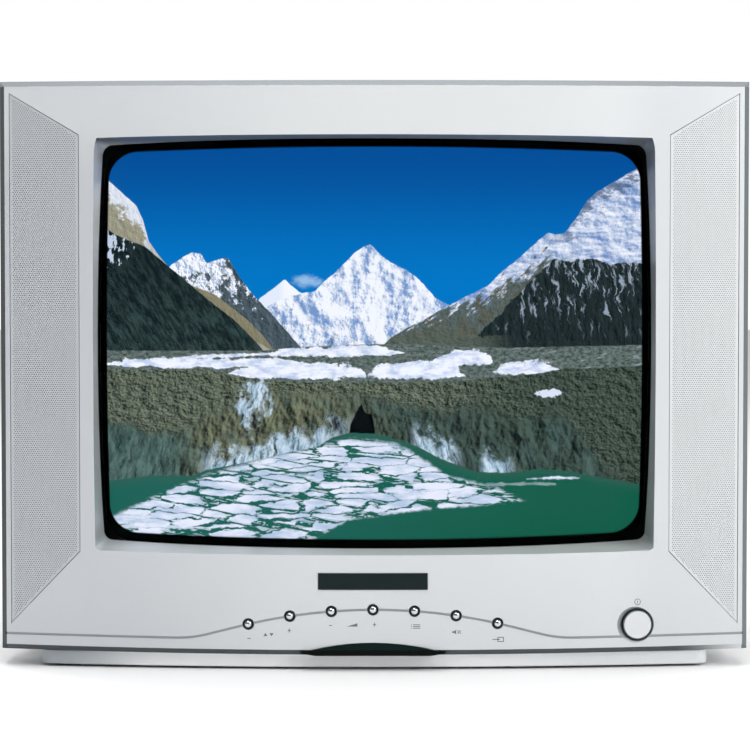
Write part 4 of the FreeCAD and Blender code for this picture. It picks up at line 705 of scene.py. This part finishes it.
picture = lay(picture, mask, srgb(30, 42, 42), srgb(112, 122, 112), hill_tone)

# Glacier flats: grey rubble with long strips of old snow.
flats = ridge((-145, -4), (-60, -3.5), (-30, -1), (0, 0), (20, 0), (38, -1), (70, -2), (145, -1))
mask = below(flats + fine_crag * 1.2)
rubble = grain(1.6, 1.6, 1.0, 4.0, 80.0, 0.7)
picture = lay(picture, mask, srgb(48, 62, 62), srgb(116, 130, 126), rubble.rise(0.3, 0.7))
ripple = grain(14.0, 2.2, 0.5, 4.0, 90.0) - 0.5


def strip(left, right, base, thick, lean=0.0):
    """Mask of a strip between two places across, with a level foot and a humped top."""
    share = (across - left) * (right - across) / ((right - left) / 2) ** 2
    hump = share.over(0.0) ** 0.5 * thick
    line = base + lean * (across - left)
    rough_edge = crag * thick * 1.3 + fine_crag * 2.4
    top = line + hump + ripple * thick * 1.5 + rough_edge
    foot = line - hump * 0.25 - rough_edge
    return (top - up).rise(-0.3, 0.5) * (up - foot).rise(-0.3, 0.4) * (share > 0.0)


snow_strips = strip(-146, -28, -11.5, 4.4)
for left, right_end, base, thick, lean in (
    (-77, -4, -16.5, 7.0, 0.0), (-4, 48, -16.5, 7.0, 0.0), (-56, 16, -6.0, 4.6, 0.02),
    (30, 62, -10.5, 6.5, 0.04), (62, 98, -15.0, 6.0, 0.02), (-104, -50, -8.0, 1.6, 0.05),
):
    snow_strips = snow_strips.over(strip(left, right_end, base, thick, lean))
strip_tone = grain(4.0, 2.0, shift=95.0).rise(0.3, 0.6)
picture = lay(picture, mask * snow_strips, srgb(176, 192, 226), srgb(238, 242, 254), strip_tone)
leaning = view.spot(across + up * 1.6, up * 1.2 - across * 0.35)
snow_lines = view.noise(3.0, (0.18, 1, 1), 3.0, 97.0, leaning, 0.6)
snow_lines = snow_lines.rise(0.58, 0.68) * across.rise(60.0, 84.0) * 0.5
picture = view.mix(mask * snow_lines, picture, srgb(178, 186, 200))

# The glacier's broken end: gravel on top, streaked ice and dirt below, a cave in the middle.
brow = ridge((-145, -14), (-112, -14), (-96, -13), (-80, -15), (-60, -19), (-40, -20), (40, -20),
             (68, -17), (84, -16), (100, -13), (120, -13), (145, -12))
mask = below(brow + fine_crag * 1.6)
gravel = grain(1.3, 1.2, 1.0, 3.0, 101.0, 0.8)
gravel_light = view.mix(across.rise(10.0, 90.0), srgb(124, 134, 116), srgb(88, 104, 92))
gravel_tone = (gravel * 0.6 + relief(5.0, 1.1, 0.9, 102.0) * 0.4).rise(0.30, 0.74)
picture = lay(picture, mask, srgb(18, 28, 26), gravel_light, gravel_tone)
lip = ridge((-145, -40), (-128, -42), (-118, -48), (-100, -46), (-86, -36), (-72, -30), (-58, -24),
            (-40, -25), (-20, -26), (0, -27), (20, -32), (36, -34), (50, -32), (62, -33), (76, -40),
            (92, -34), (104, -42), (118, -62), (145, -90))
steep = (lip + crag * 7.0 - up).rise(-3.0, 5.0)
lean_way = 0.55 * across.rise(-70.0, 40.0) - 0.2
hanging = view.spot(across + (up + 50.0) * lean_way + crag * 8.0, up)
streaks = view.noise(2.6, (1, 0.22, 1), 8.0, 110.0, hanging, 0.7)
folds = relief(11.0, 0.8, 1.3, 112.0, 1.5)
dirt = view.mix(across.rise(-112.0, -84.0), srgb(72, 98, 92), srgb(124, 130, 106))
dirt = view.mix(across.rise(-40.0, 20.0), dirt, srgb(74, 94, 86))
dirt_tone = (streaks * 0.55 + folds * 0.45).rise(0.32, 0.68)
picture = lay(picture, mask * steep * 0.94, srgb(8, 16, 16), dirt, dirt_tone)
green_ice = view.noise(13.0, (1, 0.5, 1), 5.0, 120.0, flat_place, 0.6)
low_left = across.rise(-96.0, -112.0) * up.rise(-40.0, -52.0)
green = (green_ice.rise(0.48, 0.6) * 0.35).over(low_left * 0.7)
picture = lay(picture, mask * steep * green, srgb(20, 44, 44), srgb(104, 134, 130), streaks.rise(0.3, 0.7))
shore = ridge((-145, -74), (-139, -73), (-118, -70), (-95, -70), (-90, -67), (-75, -64), (-61, -61),
              (-45, -57), (-30, -54), (-22, -49), (-13, -46.5), (0, -47), (15, -51), (25, -55),
              (34, -60), (44, -64), (54, -67.5), (70, -68), (88, -66), (103, -67.5), (117, -70.5),
              (130, -73), (145, -76))
near_ice = (shore + 9.0 + crag * 40.0 - up).rise(-3.0, 4.0)
high_patch = blot(-62.0, -32.0, 12.0, 14.0, crag * 3.0, (0.1, 0.5))
ice_reach = across.rise(-96.0, -80.0) * across.rise(-6.0, -32.0)
ice_reach = ice_reach.over(across.rise(54.0, 59.0) * across.rise(76.0, 66.0))
ice_reach = ice_reach.over(across.rise(18.0, 24.0) * across.rise(48.0, 38.0))
blue_ice = (near_ice * ice_reach).over(high_patch) * (streaks * 0.6 + green_ice * 0.4).rise(0.39, 0.51)
ice_tone = streaks.rise(0.35, 0.65)
picture = lay(picture, mask * blue_ice, srgb(116, 154, 178), srgb(208, 224, 240), ice_tone)
cave_top = ridge((-145, -90), (-16, -60), (-13, -47), (-12.5, -42), (-10, -37), (-7, -31), (-5, -36),
                 (-1, -37), (0.5, -48), (3, -60), (145, -90))
picture = view.mix(below(cave_top + fine_crag * 2.0, 0.5), picture, srgb(4, 8, 10))
lone_block = blot(92.0, -26.0, 6.5, 2.4, (crag + fine_crag) * 2.0, (0.0, 0.15))
picture = view.mix(lone_block, picture, srgb(214, 222, 240))

# Green lake, with flat floes of ice packed along the middle.
mask = below(shore + fine_crag * 1.2)
murk = grain(30.0, 2.5, 0.6, 3.0, 130.0)
lake = view.mix((across.rise(-60.0, 110.0) * 0.8 + murk * 0.4), srgb(30, 96, 88), srgb(18, 90, 70))
lake = view.mix((shore - up).rise(6.0, 0.0) * 0.55, lake, srgb(52, 92, 84))
picture = view.mix(mask, picture, lake)
spread = (-38.0 - up).over(0.0) ** 0.7 * 9.5
wander = 22.0 * (grain(26.0, 2.0, 1.0, 5.0, 140.0) - 0.5)
ragged = (grain(5.0, 1.8, 1.0, 6.0, 142.0) - 0.5) * 9.0
cells = view.spot(across / 2.3 + wander * 0.5 + ragged, spread + wander * 0.7 + ragged)
crack_settings = {"feature": "DISTANCE_TO_EDGE"}
crack = view.node("TexVoronoi", crack_settings, {"Vector": cells, "Scale": 0.105, "Randomness": 1.0})
small = view.node("TexVoronoi", crack_settings, {"Vector": cells, "Scale": 0.30, "Randomness": 1.0})
pack_right = ridge((-145, -10), (-15, -50), (10, -52), (20, -57), (38, -69), (52, -73), (65, -76),
                   (78, -83), (145, -110))
pack_left = ridge((-145, -95), (-134, -90), (-112, -79), (-90, -70), (-60, -61), (-15, -50),
                  (0, -40), (145, -40))
pack_foot = ridge((-145, -125), (-40, -108), (-28, -101), (-14, -93), (0, -91), (30, -87),
                  (60, -85), (78, -83), (145, -78))
packed = below(pack_right + fine_crag * 4.0, 1.5) * below(pack_left + fine_crag * 3.0, 1.5)
packed = packed * (1.0 - below(pack_foot + fine_crag * 3.0, 1.0))
thin = up.rise(-84.0, -96.0) * across.rise(-60.0, 10.0)
openness = 0.045 + 0.14 * thin + 0.62 * (grain(20.0, 2.8, 0.55, 7.0, 150.0, 0.65) - 0.5)
floes = (crack - openness).rise(0.0, 0.035) * packed
chips = (small - 0.17 - 0.2 * (grain(18.0, shift=155.0) - 0.5)).rise(0.0, 0.04) * packed * 0.8
floes = floes.over(chips)
for left, right_end, base, thick, strength in (
    (-139, -112, -95.0, 2.6, 1.0), (-140, -84, -98.0, 2.0, 1.0),
    (80, 110, -71.5, 1.0, 1.0), (56, 96, -74.5, 1.8, 0.4),
):
    floes = floes.over(strip(left, right_end, base, thick) * strength)
floe_grain = grain(9.0, 2.4, 0.8, 5.0, 160.0).rise(0.34, 0.62)
floe_tone = view.mix(floe_grain, srgb(176, 194, 222), srgb(228, 232, 250))
wet_rim = (crack - openness).rise(0.10, 0.02)
picture = view.mix(mask * floes, picture, view.mix(wet_rim * 0.35, floe_tone, srgb(128, 168, 180)))

# The lit area is a barrel with round corners, inside the black border.
LIT_HALF_W, LIT_HALF_H, LIT_CORNER = 141.4, 103.4, 15.0
SIDE_BULGE, TOP_BULGE = 0.008, 0.030
barrel_x = abs(across) * (1 + SIDE_BULGE * (up / LIT_HALF_H) ** 2) - (LIT_HALF_W - LIT_CORNER)
barrel_z = abs(up) * (1 + TOP_BULGE * (across / LIT_HALF_W) ** 2) - (LIT_HALF_H - LIT_CORNER)
outside = reach(barrel_x.over(0.0), barrel_z.over(0.0)) - LIT_CORNER
picture = view.mix(outside.rise(-0.5, 0.3), picture, (0.0, 0.0, 0.0, 1.0))
wear(view.shade(srgb(2, 2, 3), 0.55 + 0.1 * grain(1.0), emission_color=picture, emission_strength=1.12,
                specular_ior_level=0.0), "phosphor_screen")

# ---- Picture tube: inside and bulb --------------------------------------------------------
# Behind the face hangs the shadow mask in its steel frame. The bulb is dark with graphite
# outside, the neck is clear, and the gun in it is drawn steel. A steel band holds the
# rim, with a taped coil behind it and a rubber cap over the high-voltage contact.
def metal(name, colour, roughness, streak=(1, 1, 1), size=3.0, depth=0.002):
    """Bare or plated metal with faint marks along its working direction."""
    finish = Finish(name)
    mark = finish.noise(size, streak, 3.0)
    tone = finish.mix(mark, tuple(0.86 * c for c in colour[:3]) + (1,), colour)
    return finish.shade(tone, roughness + 0.12 * (mark - 0.5), 1.0, finish.bump(mark, depth, 0.3))


def moulded(name, colour, roughness=0.5, size=0.8, depth=0.01, spread=0.08, **sockets):
    """Moulded plastic, rubber or paper: a fine grain and a slight drift in tone."""
    finish = Finish(name)
    drift = finish.noise(size * 30)
    fine = finish.noise(size, detail=3.0)
    tone = finish.mix(drift * 0.7 + fine * 0.3, tuple(c * (1 - spread) for c in colour[:3]) + (1,),
                      tuple(min(1.0, c * (1 + spread)) for c in colour[:3]) + (1,))
    return finish.shade(tone, roughness + 0.1 * (fine - 0.5), 0.0, finish.bump(fine, depth, 0.5), **sockets)


wear(metal("blackened_steel", srgb(60, 60, 62), 0.5), "shadow_mask", "mask_frame")
graphite = Finish("graphite_coat")
brushed = graphite.noise(6.0, (1, 1, 4), 5.0)
graphite_tone = graphite.mix(brushed, srgb(22, 22, 24), srgb(48, 48, 52))
wear(graphite.shade(graphite_tone, 0.62 + 0.2 * (brushed - 0.5),
                    normal=graphite.bump(brushed, 0.03, 0.4)), "crt_funnel")
clear = Finish("neck_glass")
clear_tone = clear.mix(clear.noise(12.0), srgb(226, 236, 234), srgb(238, 244, 242))
wear(clear.shade(clear_tone, 0.02, transmission_weight=0.9, ior=1.5), "crt_neck")
wear(moulded("base_plastic", srgb(205, 200, 182), 0.45), "tube_base")
wear(metal("gun_steel", srgb(206, 208, 210), 0.28, (1, 6, 1)), "electron_gun")
wear(metal("band_steel", srgb(196, 198, 200), 0.34, (5, 1, 1)), "tension_band")
tape = Finish("coil_tape")
wrap = ((tape.x + tape.z) * 0.7).sine()
tape_tone = tape.mix(wrap.rise(0.6, 1.0), srgb(26, 26, 27), srgb(48, 48, 50))
wear(tape.shade(tape_tone, 0.4 + 0.1 * tape.noise(3.0), normal=tape.bump(wrap, 0.15, 0.6)), "degauss_coil")
wear(moulded("silicone_red", srgb(150, 62, 52), 0.42, 1.2, 0.02), "anode_cap")
wear(moulded("lead_red", srgb(176, 40, 32), 0.4, 1.0, 0.01), "anode_lead")

# ---- Deflection yoke and magnets ----------------------------------------------------------
# Saddle coils of enamelled copper lie in a nylon liner on the tube's throat, with a ferrite
# core round them. Six thin magnet rings with finger tabs turn on a sleeve behind it.
wear(moulded("nylon", srgb(226, 224, 214), 0.42, 1.5, 0.02), "yoke_liner")
copper = Finish("enamelled_copper")
WIRES_ROUND = 190
wires = (copper.x.maths("ARCTAN2", copper.z - SCREEN_Z, copper.x) * WIRES_ROUND).sine()
copper_tone = copper.mix(wires.rise(-1.0, 0.6), srgb(96, 38, 20), srgb(190, 98, 52))
wear(copper.shade(copper_tone, 0.28 + 0.1 * copper.noise(6.0), 0.6, copper.bump(wires, 0.2, 0.7)),
     "yoke_coils")
wear(moulded("ferrite", srgb(58, 58, 62), 0.6, 1.2, 0.03), "yoke_core")
wear(moulded("black_nylon", srgb(34, 34, 36), 0.45, 1.0, 0.01), "magnet_holder")
wear(moulded("ring_ferrite", srgb(84, 76, 72), 0.55, 1.0, 0.01), "purity_ring_front", "purity_ring_rear",
     "four_pole_ring_front", "four_pole_ring_rear", "six_pole_ring_front", "six_pole_ring_rear")

# ---- Circuit boards -------------------------------------------------------------------------
# Brown paper laminate for the main board and the neck board, green for the control board.
# Copper tracks show through the lacquer as lighter lanes.
def laminate(name, base, track):
    """Board with lanes of copper under its lacquer."""
    finish = Finish(name)
    lane_place = finish.node("VectorMath", {"operation": "SNAP"}, {0: finish.place, 1: (2.5, 2.5, 2.5)})
    lane = finish.node("TexNoise", inputs={"Vector": lane_place, "Scale": 0.13, "Detail": 1.0})
    lane = lane.rise(0.50, 0.53)
    weave = finish.noise(0.6, (1, 6, 6))
    tone = finish.mix(weave * 0.15, finish.mix(lane, base, track), srgb(20, 20, 16))
    return finish.shade(tone, 0.36 + 0.1 * weave, 0.0, finish.bump(lane, 0.04, 0.5))


wear(laminate("paper_laminate", srgb(168, 128, 74), srgb(186, 150, 92)), "main_board", "neck_board")
wear(laminate("green_laminate", srgb(48, 92, 44), srgb(72, 122, 60)), "control_board")
wear(moulded("switch_black", srgb(38, 38, 40), 0.45), "control_switches", "power_switch")
wear(moulded("plunger_white", srgb(224, 224, 216), 0.4), "power_switch_plunger")
wear(moulded("socket_cream", srgb(208, 202, 180), 0.45), "tube_socket")

parts = Finish("component_mix")
sleeve = parts.z.rise(26.0, 27.0)
kind = parts.node("TexVoronoi", inputs={"Vector": parts.spot(parts.x, parts.y), "Scale": 0.02},
                  output="Color")
sleeve_tone = parts.mix(parts.node("SeparateColor", inputs={0: kind}), srgb(24, 30, 52), srgb(38, 36, 34))
sleeve_tone = parts.mix(sleeve * 0.25, sleeve_tone, srgb(96, 112, 150))
wear(parts.shade(sleeve_tone, 0.34 + 0.12 * parts.noise(2.0)), "board_components")
wear(moulded("potting_black", srgb(30, 31, 34), 0.35, 1.5, 0.03), "flyback_transformer")
wear(moulded("knob_white", srgb(218, 218, 210), 0.4), "focus_knob", "screen_voltage_knob")
winding = Finish("transformer_tape")
COIL_X, COIL_HALF_W, COIL_FOOT, COIL_TOP = 62.0, 13.4, 31.0, 57.2
taped = abs(winding.x - COIL_X).rise(COIL_HALF_W, COIL_HALF_W - 0.5) * winding.z.within(COIL_FOOT, COIL_TOP)
winding_tone = winding.mix(taped, srgb(52, 52, 56), srgb(214, 186, 72))
wear(winding.shade(winding_tone, 0.42 + 0.1 * winding.noise(2.0)), "power_transformer")
wear(metal("extruded_aluminium", srgb(206, 208, 212), 0.36, (1, 1, 8)), "heatsink")
wear(metal("tinplate", srgb(208, 210, 212), 0.30, (6, 1, 1)), "tuner")

# ---- Sockets on the back ----------------------------------------------------------------------
# Three phono sockets with plated barrels, each in a coloured ring that tells its signal,
# set in a black block behind the cabinet's wall. The cord's bush is black rubber.
jacks = Finish("plated_jacks")
jack_low, jack_high = (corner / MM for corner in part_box("av_jacks"))
JACK_Z = (jack_low.z + jack_high.z) / 2
JACK_PITCH, RING_RADIUS = 20.0, 5.6
BARREL_OUTER, BARREL_BORE = 4.2, 3.2
first_x = jack_low.x + RING_RADIUS
past_first = jacks.x > first_x + JACK_PITCH / 2
past_second = jacks.x > first_x + 1.5 * JACK_PITCH
from_axis = reach(jacks.x - (past_first + past_second) * JACK_PITCH - first_x, jacks.z - JACK_Z)
ring_colour = jacks.mix(past_first, srgb(226, 184, 30), srgb(232, 232, 228))
ring_colour = jacks.mix(past_second, ring_colour, srgb(186, 36, 30))
ring_mask = from_axis > BARREL_OUTER
# Painted shade: the end of each barrel's bore is near black, for the dark inside the hole.
bore_shade_mask = (from_axis < BARREL_BORE) * (jacks.y > jack_high.y - 0.1)
plated = jacks.mix(jacks.noise(2.0), srgb(196, 196, 192), srgb(216, 216, 212))
jack_tone = jacks.mix(ring_mask, jacks.mix(bore_shade_mask * 0.9, plated, srgb(30, 30, 32)), ring_colour)
wear(jacks.shade(jack_tone, 0.24 + 0.2 * ring_mask, (1.0 - ring_mask) * (1.0 - bore_shade_mask)), "av_jacks")
wear(moulded("jack_block", srgb(30, 30, 32), 0.5), "jack_panel")
wear(moulded("gland_rubber", srgb(28, 28, 29), 0.62, 0.6, 0.02), "cord_gland")

# ---- Loudspeakers -------------------------------------------------------------------------------
# A slim oval speaker behind each grille: black pressed basket, paper cone and a ferrite
# ring magnet between steel plates.
wear(moulded("basket_black", srgb(26, 26, 28), 0.6), "speaker_frames")
wear(moulded("cone_paper", srgb(28, 27, 27), 0.85, 0.5, 0.05), "speaker_cones")
wear(moulded("magnet_ferrite", srgb(72, 72, 76), 0.55, 0.8, 0.02), "speaker_magnets")
wear(moulded("lead_grey", srgb(120, 122, 128), 0.45), "wiring")

# ---- Rear cabinet, plinth, feet and screws ------------------------------------------------------
# The back is one deep moulding of grey polystyrene with a fine sparked texture. The plinth
# is smooth silver-grey plastic screwed under it, on four rubber pads.
cabinet = Finish("textured_polystyrene")
sparkle = cabinet.noise(0.55, detail=4.0, rough=0.7)
broad = cabinet.noise(60.0)
cabinet_tone = cabinet.mix(broad * 0.5 + sparkle * 0.5, srgb(116, 120, 124), srgb(136, 140, 144))
wear(cabinet.shade(cabinet_tone, 0.55 + 0.1 * (sparkle - 0.5), 0.0, cabinet.bump(sparkle, 0.05, 0.6)),
     "rear_cabinet")

plinth = Finish("plinth_plastic")
plinth_grain = plinth.noise(0.7, detail=3.0)
drift = plinth_grain * 0.3 + plinth.noise(50.0) * 0.4
plinth_tone = plinth.mix(drift, srgb(238, 241, 243), srgb(222, 226, 230))
# Painted light brightens the plinth's middle, shaded under the frame's overhang, and painted shade darkens
# its left end.
plinth_tone = plinth.mix(abs(plinth.x + 20.0).rise(150.0, 70.0), plinth_tone, srgb(252, 253, 254))
plinth_tone = plinth.mix(plinth.x.rise(-110.0, -172.0), plinth_tone, srgb(172, 179, 184))
wear(plinth.shade(plinth_tone, 0.45 + 0.08 * plinth_grain, 0.15, plinth.bump(plinth_grain, 0.008, 0.4)),
     "base_plinth")
wear(moulded("foot_rubber", srgb(34, 34, 34), 0.75, 0.5, 0.03), "rubber_feet")
wear(metal("zinc_screws", srgb(150, 150, 148), 0.34), "screws")
